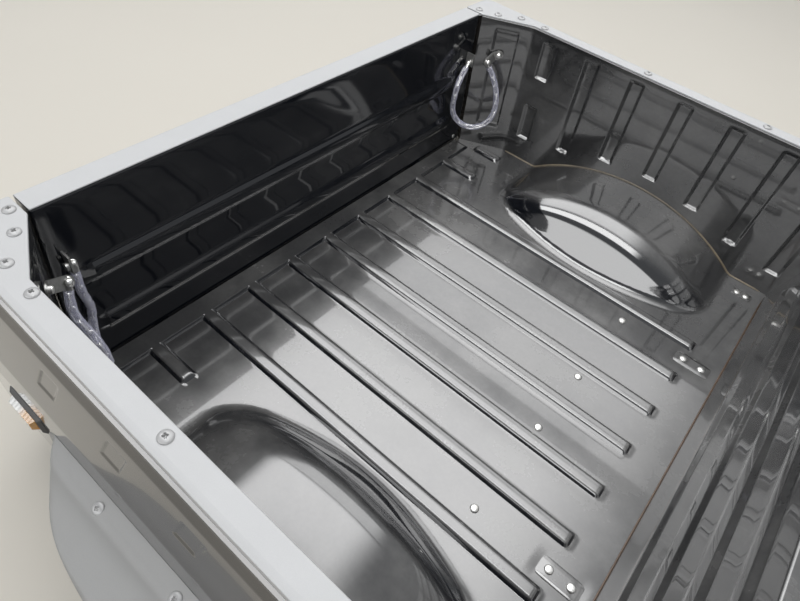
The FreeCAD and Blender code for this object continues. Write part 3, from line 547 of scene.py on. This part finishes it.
def dressed(nodes, finish, edge=0.0):
    """Solids that keep their own shape: their triangles are welded and their edges rounded."""
    for name in nodes:
        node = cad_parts[name]
        node.data.materials.clear()
        node.data.materials.append(finish)
        weld = node.modifiers.new("weld", "WELD")
        weld.merge_threshold = 0.00002
        if edge:
            round_over = node.modifiers.new("edge", "BEVEL")
            round_over.width, round_over.segments = edge, 2
            round_over.angle_limit = math.radians(40)


frame_paint = satin_paint("frame_paint", 0.012, 0.35)
both = ("_left", "_right")
dressed(["corner_post" + side for side in both], skin_paint, 0.0006)
dressed(["rear_channel", "middle_channel", "bolt_channel", "front_channel"], frame_paint, 0.001)
dressed([name + side for name in ("beam", "hinge_ear", "gate_pivot") for side in both], frame_paint, 0.0008)
dressed(["strut_bracket"], frame_paint, 0.0006)

# Tailgate: an inner pan with two long beads and turned edges, closed behind by an outer skin with one
# broad panel. Both are steel in the bed's gloss black, and hang on two pin hinges at the bottom.
gate_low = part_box("gate_inner")[0]
gate_gap = 0.005
gate_beads = [(0.064, 0.102), (0.174, 0.212)]
gate_back = gate_x - 0.038


def gate_half(up):
    """Half the tailgate's width, which narrows upwards as the bed does."""
    return half_width - lean_rate * up - corner_in - gate_gap


def gate_sheet(height_of, edge, face, away, radius=0.004):
    """One side of the tailgate as a grid over it: the height over its face. Past the rim each row and column
    turns by an angle: it goes out by the radius times the sine and back by the radius times one less both
    cosines. A last row all round goes straight back."""
    turn = np.linspace(0, math.pi / 2, 6)[1:]
    low, high = gate_low.z - floor_z + radius, wall_top - floor_z - radius
    rise = spaced(low, high, 0.016, edge, 0.001)
    share = spaced(-1.0, 1.0, 0.035, (-0.884, 0.884), 0.0024, 0.012)
    over = [np.concatenate([-turn[::-1], np.zeros(len(line)), turn]) for line in (rise, share)]
    rise, share = np.pad(rise, len(turn), "edge"), np.pad(share, len(turn), "edge")
    rise, share = np.meshgrid(rise, share, indexing="ij")
    up, out = np.meshgrid(*over, indexing="ij")
    across = share * (gate_half(rise) - radius)
    back = height_of(across, rise) - radius * (1 - np.cos(up) * np.cos(out))
    grid = np.stack([back, across + radius * np.sin(out), rise + radius * np.sin(up)], -1)
    grid = np.pad(grid, ((1, 1), (1, 1), (0, 0)), "edge")
    grid[[0, -1], :, 0] = grid[:, [0, -1], 0] = -away
    return [grid + (face, 0.0, floor_z)]


def inner_beads(across, up):
    """Two long beads that stand 6 mm into the bed, with sloping sides and ends."""
    proud = np.zeros_like(up)
    for low, high in gate_beads:
        proud = np.maximum(proud, ramp((up - low) / 0.010, 0.08) * ramp((high - up) / 0.010, 0.08))
    return 0.006 * proud * ramp((0.480 - abs(across)) / 0.006)


gate_paint = gloss_paint("gate_paint", 0.0, 0.000008, coat=0.15)
inner_edges = [edge + way * 0.005 for low, high in gate_beads for edge, way in ((low, 1), (high, -1))]
pan = sheet_metal("tailgate_pan", gate_sheet(inner_beads, inner_edges, gate_x, 0.0365), (1, 0, 0), 0.0015)
fitted(pan, "tailgate", "bed_paint", gate_paint, "gate_inner")
dressed(["gate_outer"], skin_paint, 0.0006)
dressed(["gate_hinge" + side for side in both], frame_paint, 0.0006)

# Tailgate's latch: a moulded paddle in the middle of its outer face, and the loop under the front
# channel that holds the bed down. The loop is a bent zinc plated bar.


def zinc_plate(name, shade=0.62, rough=0.28):
    """Bright zinc with slow clouds of dull oxide and a brushed grain."""
    finish, tree, place = started(name)
    clouds = grain(place, 90.0, 3.0).step(0.35, 0.75)
    closed_with(tree, {
        "Base Color": clouds.tint((shade, shade, 0.98 * shade, 1), (0.7 * shade, 0.69 * shade, 0.66 * shade, 1)),
        "Metallic": 1.0,
        "Roughness": rough + clouds * 0.2,
        "Normal": relief(grain(place, 900.0) * 0.00003)})
    return finish


def moulded(name, shade, rough, texture, scale, gloss=0.5):
    """Moulded plastic: one colour with faint clouds and a fine grained surface."""
    finish, tree, place = started(name)
    darker = tuple(0.9 * part for part in shade[:3]) + (1,)
    pits = grain(place, scale, 2.0, 0.7)
    closed_with(tree, {
        "Base Color": (grain(place, 25.0, 3.0) * 0.6 + pits.step(0.35, 0.7) * 0.4).tint(darker, shade),
        "Roughness": rough + pits * 0.12, "Specular IOR Level": gloss,
        "Normal": relief(pits * texture)})
    return finish


zinc = zinc_plate("zinc")
black_plastic = moulded("black_plastic", (0.022, 0.022, 0.023, 1), 0.42, 0.00005, 900.0)
dressed(["dump_striker"], zinc)
dressed(["gate_handle"], black_plastic, 0.0015)

# Rail caps: grey moulded strips screwed down on both side rails and the tailgate's top edge. They are
# flush with the walls inside, fall a little towards a lip outside, and are broader over the corner posts.
rail_z = floor_z + wall_height
rail_plastic = moulded("rail_plastic", (0.62, 0.625, 0.63, 1), 0.45, 0.00002, 1400.0, 0.2)


def cap_strip(name, outline, lip, high, wall, side):
    """A strip along a closed outline, run anticlockwise. Its rim goes down as far as given at each point and is
    rounded on top, where it lies lower towards the outside of the bed and rises to a bend 9 mm in. A flat face
    closes it on top, and one wall further down it is open."""
    outline = np.asarray(outline, float)
    ahead = np.roll(outline, -1, 0) - outline
    behind = outline - np.roll(outline, 1, 0)
    ahead /= np.linalg.norm(ahead, axis=1, keepdims=True)
    behind /= np.linalg.norm(behind, axis=1, keepdims=True)
    square = np.stack([-(ahead + behind)[:, 1], (ahead + behind)[:, 0]], -1)
    square /= np.einsum("ij,ij->i", square, np.stack([-ahead[:, 1], ahead[:, 0]], -1))[:, None]
    radius, fall, fall_from, fall_over = 0.0013, 0.0016, 0.592, 0.014
    outer = np.clip((outline[:, 1] - fall_from) / fall_over, 0.0, 1.0)

    def ring(inward, level):
        return np.column_stack([outline + square * np.reshape(inward, (-1, 1)), level])

    rings = [ring(0.0, lip)]
    for angle in np.linspace(0, math.pi / 2, 6):
        level = high - fall * outer - radius * (1 - math.sin(angle))
        rings.append(ring(radius * (1 - math.cos(angle)), level))
    flat = np.full(len(outline), high)
    rings += [ring(radius + 0.0006 + 0.0064 * outer, flat), ring(radius + 0.0010 + 0.0066 * outer, flat)]
    ceiling = np.full(len(outline), high - wall - 0.0005) - fall * outer
    rings = np.array([ring(wall, ceiling), ring(wall, np.minimum(lip, ceiling)), *rings]) * (1, side, 1)
    count = len(outline)
    index = np.arange(rings.shape[0] * count).reshape(-1, count)
    after = np.roll(index, -1, 1)
    quads = np.stack([index[:-1], after[:-1], after[1:], index[1:]], -1).reshape(-1, 4).tolist()
    mesh = bpy.data.meshes.new(name)
    mesh.from_pydata(rings.reshape(-1, 3).tolist(), [], quads + [index[-1].tolist(), index[0][::-1].tolist()])
    return sheet_object(name, mesh, None, 0.0, 50)


cap_rear = gate_back - 0.0005 - 0.0025
cap_front = top + fold_deep + 0.0025
narrow = half_width - lean_rate * shelf_up
wide = narrow - corner_in
cap_outer = 0.610
rear_middle = (cap_rear, (wide + cap_outer) / 2)
corners = [rear_middle, (cap_rear, wide), (bed_rear, wide), (wall_bend, narrow), (cap_front, narrow),
           (cap_front, cap_outer), (cap_rear, cap_outer), rear_middle]
loop = rounded(corners, (0.003, 0.004, 0.004, 0.003, 0.009, 0.009))[:-1]
steps = []
for start, end in zip(loop, np.roll(loop, -1, 0)):
    pieces = max(1, round(np.linalg.norm(end - start) / 0.02))
    steps.append(start + (end - start) * (np.arange(pieces) / pieces)[:, None])
loop = np.concatenate(steps)
inner_side = (loop[:, 1] < narrow + 0.001) & (loop[:, 0] > bed_rear - 0.001)
lip = np.where(inner_side, rail_z - 0.003, rail_z - 0.014)
for side, word in both_sides:
    cap = cap_strip("side_cap_" + word, loop, lip, rail_z, 0.0025, side)
    fitted(cap, "bed", "rail_plastic", rail_plastic, "rail_cap_" + word)
dressed(["gate_cap"], rail_plastic, 0.0022)

# Screws of the caps: steel truss heads with a cross recess, painted grey like the caps. Seven a side are
# driven through the caps into the rails.


def screw_heads(name, places, normal, width, height, cross, turns):
    """Truss heads as one mesh. Each is a grid of rings and angles: a shallow dome over a short upright rim,
    less a cross recess, which is a ramp across and one along each of its two arms."""
    reach = np.concatenate([np.linspace(0, 0.94, 13), [0.99, 1.0, 1.0, 0.0]])[:, None] * width / 2
    angle = np.linspace(0, 2 * math.pi, 41)[None, :]
    a, b = reach * np.cos(angle), reach * np.sin(angle)
    dome = height * (0.18 + 0.82 * np.sqrt(np.clip(1 - (reach / (width / 2)) ** 2, 0, 1)))
    arm_half, arm_reach, slope = 0.07 * width, 0.17 * width, 0.0004
    arms = np.maximum(ramp((arm_half - abs(a)) / slope) * ramp((arm_reach - abs(b)) / slope),
                      ramp((arm_half - abs(b)) / slope) * ramp((arm_reach - abs(a)) / slope))
    level = dome - cross * arms
    level[-2:] = 0.0
    up = np.asarray(normal, float)
    up = up / np.linalg.norm(up)
    first = np.cross(up, (0.3, 0.6, 0.1))
    first /= np.linalg.norm(first)
    second = np.cross(up, first)
    grids = []
    for spot, turn in zip(places, turns):
        u = math.cos(turn) * first + math.sin(turn) * second
        v = np.cross(up, u)
        grids.append(np.asarray(spot) + a[..., None] * u + b[..., None] * v + level[..., None] * up)
    return sheet_metal(name, grids, tuple(up), crease=40)


screw_grey = moulded("screw_grey", (0.46, 0.46, 0.46, 1), 0.26, 0.00002, 1500.0)
cap_screws = [(-0.014, 0.534), (0.029, 0.5495), (0.073, 0.5815), (0.135, 0.5845), (0.390, 0.590), (0.648, 0.590),
              (0.905, 0.590)]
for side, word in both_sides:
    spots = [(gate_x + place, side * line, rail_z - 0.0001) for place, line in cap_screws]
    turns = np.random.default_rng(7 + side).uniform(0, math.pi, len(spots))
    heads = screw_heads("cap_screws_" + word, spots, (0, 0, 1), 0.0175, 0.0042, 0.0046, turns)
    fitted(heads, "bed", "rail_plastic", screw_grey)

# Bolts and tie plates: round zinc heads that hold the floor to its channels and the tailgate to its hinges,
# and small steel plates, painted with the bed, that lie in pressed seats at the front under two bolts each.


def small_plates(name, places, thick):
    """Flat plates with rounded corners, as one mesh: a squircle of eighth power, with its edge turned down."""
    angle = np.linspace(0, 2 * math.pi, 49)[None, :]
    share = np.array([0.0, 0.5, 0.97, 1.0, 1.0])[:, None]
    high = np.array([1.0, 1.0, 1.0, 0.7, 0.0])[:, None] * thick
    power = 1.0 / (np.cos(angle) ** 8 + np.sin(angle) ** 8) ** (1 / 8)
    grids = []
    for x, y, z, length, width in places:
        grids.append(np.stack([x + share * power * np.cos(angle) * length / 2,
                               y + share * power * np.sin(angle) * width / 2,
                               z + high + 0 * angle], -1))
    return sheet_metal(name, grids, (0, 0, 1), crease=50)


bolt_heads = [(0.635, 0.273), (0.635, 0.075), (0.635, -0.075), (0.635, -0.273)]
spots = [(gate_x + place, line, floor_z - 0.0001) for place, line in bolt_heads]
spots += [(gate_x + place, side * 0.272, floor_z + 0.0004) for place in (0.772, 0.810) for side in (-1, 1)]
spots += [(gate_x + place, side * 0.555, floor_z + 0.0014) for place in (0.792, 0.812) for side in (-1, 1)]
heads = screw_heads("floor_bolts", spots, (0, 0, 1), 0.015, 0.0042, 0.0, np.zeros(len(spots)))
fitted(heads, "bed", "zinc_plate", zinc)
spots = [(gate_x - 0.0001, side * 0.517, floor_z + 0.018) for side in (-1, 1)]
heads = screw_heads("gate_bolts", spots, (1, 0, 0), 0.011, 0.0030, 0.0, np.zeros(2))
fitted(heads, "tailgate", "zinc_plate", zinc)
plates = [(gate_x + 0.791, side * 0.272, floor_z - 0.0012, 0.072, 0.034) for side in (-1, 1)]
plates += [(gate_x + 0.802, side * 0.555, floor_z - 0.0002, 0.044, 0.022) for side in (-1, 1)]
fitted(small_plates("tie_plates", plates, 0.0018), "bed", "bed_paint", front_paint)

# Fender flares: moulded plastic arches with a grained face, screwed to the outer skins through a flange.
# Their shape is one shell, from the wheel opening out to the flange.
flare_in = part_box("fender_flare_left")[0].y
flare_radius = 0.418
flare_foot = -0.060
flare_top = 0.152
flare_reach = 0.096


def arc_runs(start, direction, points, steps=24):
    """A line of arcs that leaves the start in a direction and passes through the points with no corner."""
    line, start = [np.asarray([start], float)], np.asarray(start, float)
    direction = np.asarray(direction, float) / np.linalg.norm(direction)
    for end in np.asarray(points, float):
        chord = end - start
        length = np.linalg.norm(chord)
        bend = math.acos(np.clip(direction @ chord / length, -1, 1))
        side = direction - chord * (direction @ chord) / length**2
        side /= max(np.linalg.norm(side), 1e-9)
        angle = np.linspace(-bend, bend, steps)[1:, None]
        radius = length / 2 / max(math.sin(bend), 1e-6)
        bow = side * radius * (np.cos(angle) - math.cos(bend))
        line.append((start + end) / 2 + chord / length * radius * np.sin(angle) + bow)
        direction = 2 * chord * (direction @ chord) / length**2 - direction
        start = end
    return np.concatenate(line)


drop = wheel_depth + flare_foot
half_foot = math.sqrt(flare_radius**2 - drop**2) + 0.060
plan_turns = [(0.205, 0.080), (0.137, 0.056), (0.071, 0.002)]
plan = arc_runs((0.0, flare_reach), (-1, 0), [(back - half_foot, out) for back, out in plan_turns])
plan = np.concatenate([plan, [(-half_foot - 0.001, 0.001)]])
cross = arc_runs((0.011, -0.0005), (1, -0.02), [(0.029, -0.009), (0.051, -0.026), (0.073, -0.0315), (0.0935, -0.052)])
cross = np.concatenate([[(0.0, 0.0)], cross, [(flare_reach, -0.080), (flare_reach + 0.002, -0.30)]])
side_line = [(-half_foot, flare_foot), (-half_foot + 0.012, flare_foot + 0.110),
             (-half_foot + 0.034, flare_foot + 0.172), (-half_foot + 0.066, flare_top)]
side_line = np.array([*side_line, *[(-a, b) for a, b in side_line[::-1]]])
side_line = rounded(side_line, (0.04, 0.03, 0.02, 0.02, 0.03, 0.04))
start = math.atan2(-math.sqrt(flare_radius**2 - drop**2), drop)
fine = 181
theta = np.linspace(start, -start, fine)
dense = [np.linspace(a, b, 60, endpoint=False) for a, b in zip(side_line, side_line[1:])]
dense = np.concatenate([*dense, side_line[-1:]])
share = 1 - (1 - np.linspace(0, 1, 64)[None, :]) ** 1.5
along = np.cumsum(np.append(0, np.linalg.norm(np.diff(dense, axis=0), axis=1)))
rim = np.stack([np.interp(np.linspace(0, along[-1], fine), along, dense[:, k]) for k in (0, 1)], -1)
lip_line = np.stack([flare_radius * np.sin(theta), flare_radius * np.cos(theta) - wheel_depth], -1)
spread = lip_line[:, None] + (rim - lip_line)[:, None] * share[..., None]
plan_out = np.interp(-abs(spread[..., 0]), plan[::-1, 0], plan[::-1, 1])
cross_out = np.interp(-(spread[..., 1] - flare_top), -cross[:, 1], cross[:, 0])
out = 0.5 * (plan_out + cross_out - np.sqrt((plan_out - cross_out) ** 2 + 0.010**2))
out = np.clip(out, 0.0005, flare_reach - 0.0005)
face = np.stack([gate_x + wheel_x + spread[..., 0], flare_in + out, floor_z + spread[..., 1]], -1)
inward = np.array([0.0, 0.004, 0.008, 0.012])
lip_in = np.stack([face[:, 0] - (0, step, 0) for step in inward], 1)
rim_in = np.stack([face[:, -1], face[:, -1] * (1, 0, 1) + (0, flare_in, 0)], 1)
flare_screws = [  # name, ahead of the tailgate, out from the skin, under the top, way out of the face
    ("", (0.305, 0.455, 0.640), 0.016, 0.0028, (0.0, 0.011, 0.024)),
    ("_rear", (0.196,), 0.012, 0.020, (-0.7, 0.7, 0.15)),
    ("_front", (0.776,), 0.012, 0.020, (0.7, 0.7, 0.15)),
]
fender_plastic = moulded("fender_plastic", (0.38, 0.38, 0.375, 1), 0.5, 0.00005, 900.0, 0.3)
for side, word in both_sides:
    mirror = np.array((1, side, 1))
    grids = [part * mirror for part in (face, lip_in, rim_in)]
    flare = sheet_metal("flare_" + word, grids, (0, side, 0), 0.003, 45)
    fitted(flare, "bed", "fender_plastic", fender_plastic, "fender_flare_" + word)
    for group, places, out_by, under, way in flare_screws:
        spots = [(gate_x + place, side * (flare_in + out_by), floor_z + flare_top - under) for place in places]
        name, turns = "flare_screws_" + word + group, np.linspace(0.3, 2.1, len(spots))
        heads = screw_heads(name, spots, way * mirror, 0.017, 0.0038, 0.0030, turns)
        fitted(heads, "bed", "fender_plastic", screw_grey)

# Side markers and tail lamps: moulded lenses, amber at the sides with a pale painted highlight over their rear
# part, and red behind, over black plastic bases that are screwed to the skins and the corner posts.


def coloured_lens(name, colour, ribs_across, clear=(9.0, 9.1)):
    """Moulded lens: coloured right through, with upright flutes inside, and painted pale grey behind a place along,
    where the colour fades out: a painted highlight."""
    finish, tree, place = started(name)
    across = tree.node("SeparateXYZ", {}, {0: place}, ribs_across)
    along = tree.node("SeparateXYZ", {}, {0: place}, 0)
    flutes = tree.math("SINE", across * 900.0) * 0.00025
    tone = grain(place, 40.0).tint(colour, tuple(0.75 * part for part in colour[:3]) + (1,))
    closed_with(tree, {
        "Base Color": (1.0 - along.step(*clear)).tint(tone, (0.80, 0.80, 0.78, 1)) if clear[0] < 1 else tone,
        "Roughness": 0.12 + grain(place, 200.0) * 0.05,
        "Transmission Weight": 0.35, "IOR": 1.49, "Coat Weight": 1.0, "Coat Roughness": 0.05,
        "Normal": relief(flutes)})
    return finish


marker_low, marker_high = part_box("marker_lens_left")
middle = 0.5 * (marker_low.x + marker_high.x)
# The amber lenses turn pale grey over their rear part: a painted highlight.
amber_with_painted_highlight = coloured_lens("amber_with_painted_highlight", (0.85, 0.40, 0.05, 1), 0, (middle - 0.006, middle + 0.010))
red = coloured_lens("red", (0.55, 0.012, 0.010, 1), 2)
dressed([name + side for name in ("marker_base", "lamp_housing") for side in both], black_plastic, 0.001)
dressed(["marker_lens" + side for side in both], amber_with_painted_highlight, 0.001)
dressed(["lamp_lens" + side for side in both], red, 0.0012)

# Tailgate chains: welded zinc links in a clear vinyl sleeve, hung in a loop from a tab on the tailgate to
# a bent strap on the corner wall. The end links stay bare and go round bolts with round zinc heads.
# The strap and the tab are zinc like the links, but given a far darker copy of it: painted shade for the dark
# surroundings they mirror.
dressed(["chain_anchor" + side for side in both], zinc_plate("anchor_zinc_painted_shade", 0.30, 0.4), 0.0004)
dressed(["chain_tab" + side for side in both], zinc_plate("tab_zinc_painted_shade", 0.35, 0.4), 0.0004)
jamb = half_width - corner_in
chain_routes = {  # ahead of the tailgate, in from the jamb's foot, over the floor
    "left": [
        (0.0115, 0.0595, 0.2265), (0.0160, 0.0885, 0.2015), (0.0190, 0.0970, 0.1710), (0.0160, 0.0930, 0.1395),
        (0.0180, 0.0830, 0.1105), (0.0350, 0.0690, 0.0890), (0.0585, 0.0525, 0.0825), (0.0805, 0.0350, 0.0925),
        (0.0935, 0.0215, 0.1155), (0.0930, 0.0150, 0.1455), (0.0835, 0.0120, 0.1775), (0.0685, 0.0135, 0.2075),
        (0.0515, 0.0220, 0.2325),
    ],
    "right": [
        (0.0135, 0.0485, 0.2225), (0.0220, 0.0430, 0.1930), (0.0175, 0.0480, 0.1640), (0.0095, 0.0520, 0.1360),
        (0.0110, 0.0440, 0.1055), (0.0300, 0.0335, 0.0830), (0.0595, 0.0245, 0.0765), (0.0885, 0.0190, 0.0890),
        (0.1050, 0.0175, 0.1160), (0.1035, 0.0180, 0.1480), (0.0830, 0.0150, 0.1755), (0.0620, 0.0085, 0.2050),
        (0.0495, 0.0205, 0.2320),
    ],
}
sleeve_radius = 0.007
link_wire, link_long, link_wide, link_pitch = 0.00175, 0.0285, 0.0125, 0.0215
link_count = 19


def along_spline(points):
    """Points along a NURBS spline of order 3 through the route's ends."""
    curve = bpy.data.curves.new("route", "CURVE")
    curve.dimensions, curve.resolution_u = "3D", 24
    spline = curve.splines.new("NURBS")
    spline.points.add(len(points) - 1)
    spline.points.foreach_set("co", np.column_stack([points, np.ones(len(points))]).ravel())
    spline.order_u = 3
    spline.use_endpoint_u = True
    holder = bpy.data.objects.new("route", curve)
    bpy.context.scene.collection.objects.link(holder)
    line = bpy.data.meshes.new_from_object(holder.evaluated_get(bpy.context.evaluated_depsgraph_get()))
    path = np.array([vertex.co for vertex in line.vertices])
    bpy.data.objects.remove(holder)
    return path


def frames_along(path, count):
    """Even places along a path with two directions square to it, the first kept level with the loop's plane."""
    length = np.append(0, np.cumsum(np.linalg.norm(np.diff(path, axis=0), axis=1)))
    even = np.linspace(0, length[-1], count)
    spots = np.stack([np.interp(even, length, path[:, k]) for k in range(3)], -1)
    along = np.gradient(spots, axis=0)
    along /= np.linalg.norm(along, axis=1, keepdims=True)
    centred = path - path.mean(0)
    plane = np.linalg.svd(centred, full_matrices=False)[2][2]
    first = np.cross(along, plane)
    first /= np.linalg.norm(first, axis=1, keepdims=True)
    return spots, along, first, np.cross(along, first), length[-1]


def sleeve_tube(name, path):
    """The sleeve: rings along the path, outside and inside, that join at both ends. It swells and pinches a
    little over each link."""
    rings = 280
    spots, _, first, second, length = frames_along(path, rings)
    step = np.linspace(0, length, rings)
    swell = 1.0 - 0.03 * np.cos(step / link_pitch * 2 * math.pi)
    angle = np.linspace(0, 2 * math.pi, 25)[None, :, None]
    grids = []
    for radius in (sleeve_radius, sleeve_radius - 0.0011):
        ring = radius * swell[:, None, None] * (np.cos(angle) * first[:, None] + np.sin(angle) * second[:, None])
        grids.append(spots[:, None] + ring)
    ends = [np.stack([grids[0][k], grids[1][k]], 0) for k in (0, -1)]
    return sheet_metal(name, [*grids, *ends], (0, 0, 1), crease=60)


def chain_links(name, path):
    """Links as one mesh: each a round wire carried round a stadium, half the pitch apart in turn by 90°. The
    first and last ones lie past the path's ends, round the bolts."""
    past = ((link_count - 1) * link_pitch - np.linalg.norm(np.diff(path, axis=0), axis=1).sum()) / 2
    before, after = path[0] - path[1], path[-1] - path[-2]
    line = np.concatenate([[path[0] + past * before / np.linalg.norm(before)], path,
                           [path[-1] + past * after / np.linalg.norm(after)]])
    spots, along, first, second, _ = frames_along(line, 2 * link_count - 1)
    turn = np.linspace(0, 2 * math.pi, 25)
    half = link_long / 2 - link_wide / 2
    bow = link_wide / 2 - link_wire
    a = bow * np.cos(turn) + half * np.tanh(6 * np.cos(turn))
    b = bow * np.sin(turn)
    ring = np.linspace(0, 2 * math.pi, 9)
    da, db = np.gradient(a), np.gradient(b)
    size = np.hypot(da, db)
    na, nb = db / size, -da / size
    grids = []
    for number, k in enumerate(range(0, 2 * link_count - 1, 2)):
        u, v = (first[k], second[k]) if number % 2 else (second[k], first[k])
        line = spots[k] + a[:, None] * along[k] + b[:, None] * u
        square = na[:, None] * along[k] + nb[:, None] * u
        round_wire = np.cos(ring)[None, :, None] * square[:, None] + np.sin(ring)[None, :, None] * v
        grids.append(line[:, None] + link_wire * round_wire)
    return sheet_metal(name, grids, (0, 0, 1), crease=80)


finish, tree, place = started("clear_sleeve")
edge = tree.node("LayerWeight", {}, {"Blend": 0.35}, 1)
closed_with(tree, {
    "Base Color": grain(place, 120.0).tint((0.72, 0.73, 0.96, 1), (0.88, 0.88, 1.0, 1)),
    "Roughness": 0.14, "IOR": 1.5, "Coat Weight": 1.0, "Coat Roughness": 0.06,
    "Alpha": 0.15 + edge * 0.6,
    "Normal": relief(grain(place, 130.0, 3.0) * 0.0012)})
clear_sleeve = finish
link_zinc = zinc_plate("link_zinc", 0.88, 0.24)
bolt_on, bolt_up = 0.050, 0.257  # the strap's bolt: ahead of the bed's rear end, over the floor
bolt_out = jamb - lean_rate * bolt_up + bolt_on * corner_in / corner_run
wall_bolt = np.array([bed_rear + bolt_on, bolt_out, floor_z + bolt_up])
wall_way = np.cross((corner_run, corner_in, 0.0), (0.0, -lean_rate, 1.0))
wall_way /= np.linalg.norm(wall_way)
held = np.array([gate_x + 0.045, jamb - 0.025, floor_z + 0.242])
level = held - wall_bolt - wall_way * ((held - wall_bolt) @ wall_way)
level /= np.linalg.norm(level)
bend = wall_bolt + level * 0.012 + wall_way * 0.0015
face_way = np.cross(np.cross(level, wall_way), held - bend)
face_way /= np.linalg.norm(face_way)
tab_spot = np.array((gate_x + 0.010, jamb - 0.0505 - 0.0015, floor_z + 0.234))
chain_bolts = [  # name, place, way that its head faces, body
    ("wall_bolt_", wall_bolt + 0.0065 * wall_way, wall_way, "bed"),
    ("chain_bolt_", held + 0.0055 * face_way, face_way, "bed"),
    ("chain_nut_", held - 0.0055 * face_way, -face_way, "bed"),
    ("tab_bolt_", tab_spot, np.array((0, -1, 0)), "tailgate"),
]
for side, word in both_sides:
    mirror = np.array((1, side, 1))
    route = np.array([(gate_x + x, side * (jamb - y), floor_z + z) for x, y, z in chain_routes[word]])
    path = along_spline(route)
    for name, spot, way, body in chain_bolts:
        head = screw_heads(name + word, [spot * mirror], way * mirror, 0.012, 0.0040, 0.0, [0.0])
        fitted(head, body, "zinc_plate", link_zinc)
    sleeve, links = sleeve_tube("sleeve_" + word, path), chain_links("links_" + word, path)
    for piece, slot, finish in ((sleeve, "clear_sleeve", clear_sleeve), (links, "zinc_plate", link_zinc)):
        piece.data.materials.append(finish)
        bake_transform(piece)
    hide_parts("chain_" + word)

# Stage: a plain pale floor just under the part, a broad soft light overhead, four panels of sky that only
# gloss mirrors, and a pale surround.
finish, tree, place = started("stage_floor")
closed_with(tree, {
    "Base Color": grain(place, 1.5).tint((0.74, 0.70, 0.62, 1), (0.77, 0.73, 0.65, 1)),
    "Roughness": 0.9})
ground_z = cad_box[0][2] - 0.001
ground = np.array([[(x, y, ground_z) for y in (-9.0, 9.0)] for x in (-9.0, 9.0)])
ground = sheet_metal("stage_floor", [ground], (0, 0, 1))
ground.data.materials.append(finish)


def softbox(name, place, aim, wide, deep, radiance, soft=0.0, on_diffuse=True, mirrored=True):
    """An area lamp: its power is the radiance times pi times its area. The light fades out towards its edges
    over the share of its width given as soft."""
    lamp = bpy.data.lights.new(name, "AREA")
    lamp.shape, lamp.size, lamp.size_y = "RECTANGLE", wide, deep
    lamp.energy = radiance * math.pi * wide * deep
    if soft:
        lamp.use_nodes = True
        tree = Wire(lamp.node_tree)
        lamp.node_tree.nodes.clear()
        across = tree.node("SeparateXYZ", {}, {0: tree.node("NewGeometry", {}, {}, 5)}, 0)
        along = tree.node("SeparateXYZ", {}, {0: tree.node("NewGeometry", {}, {}, 5)}, 1)
        fade = across.step(0.0, soft) * (1.0 - across).step(0.0, soft)
        fade = fade * along.step(0.0, soft) * (1.0 - along).step(0.0, soft)
        glow = tree.node("Emission", {}, {"Strength": fade})
        tree.node("OutputLight", {}, {"Surface": glow})
    holder = bpy.data.objects.new(name, lamp)
    bpy.context.scene.collection.objects.link(holder)
    holder.location = place
    holder.rotation_euler = (Vector(aim) - Vector(place)).to_track_quat("-Z", "Y").to_euler()
    holder.visible_camera = False
    holder.visible_diffuse = on_diffuse
    holder.visible_glossy = mirrored


softbox("overhead", (0.2, 0.2, 3.2), (0.2, 0.2, 0.0), 6.0, 6.0, 1.25, mirrored=False)
softbox("sky_near", (-0.9, 0.70, 2.5), (-0.9, 0.70, 0.0), 4.4, 2.0, 5.0, 0.2, False)
softbox("sky_far", (-0.9, 3.05, 2.5), (-0.9, 3.05, 0.0), 4.4, 4.2, 3.1, 0.15, False)
softbox("sky_top", (-0.9, -0.65, 2.5), (-0.9, -0.65, 0.0), 4.4, 0.9, 8.0, 0.1, False)
softbox("sky_low", (0.0, -3.4, 2.1), (0.0, 0.0, 1.1), 8.0, 2.8, 4.8, 0.12, False)

world = bpy.data.worlds.new("surround")
world.use_nodes = True
world.node_tree.nodes.clear()
bpy.context.scene.world = world
tree = Wire(world.node_tree)
rays = [tree.node("LightPath", {}, {}, output) for output in (0, 3, 6)]
seen = tree.math("MAXIMUM", tree.math("MAXIMUM", rays[0], rays[1] * 0.35), rays[2])
dim = tree.node("Background", {}, {"Color": (0.93, 0.96, 1.0, 1), "Strength": 0.30})
pale = tree.node("Background", {}, {"Color": (0.93, 0.95, 0.97, 1), "Strength": 0.85})
mixed = tree.node("MixShader", {}, {0: seen, 1: dim, 2: pale})
tree.node("OutputWorld", {}, {"Surface": mixed})
bpy.context.scene.view_settings.view_transform = "Standard"

# Camera: over the right front of the bed, looking down and back across it, as solved from the photo's
# vanishing lines.
camera = bpy.data.objects.new("camera", bpy.data.cameras.new("camera"))
bpy.context.scene.collection.objects.link(camera)
right = (0.7584, 0.6399, 0.1239)
above = (-0.5464, 0.5205, 0.6561)
ahead = (-0.3554, 0.5653, -0.7444)
stand = (0.545, -0.698, 0.990)
camera.matrix_world = Matrix([(right[k], above[k], -ahead[k], stand[k]) for k in range(3)] + [(0, 0, 0, 1)])
camera.data.sensor_width, camera.data.sensor_fit, camera.data.lens = 36.0, "HORIZONTAL", 26.37
camera.data.clip_start, camera.data.clip_end = 0.02, 60.0
bpy.context.scene.camera = camera
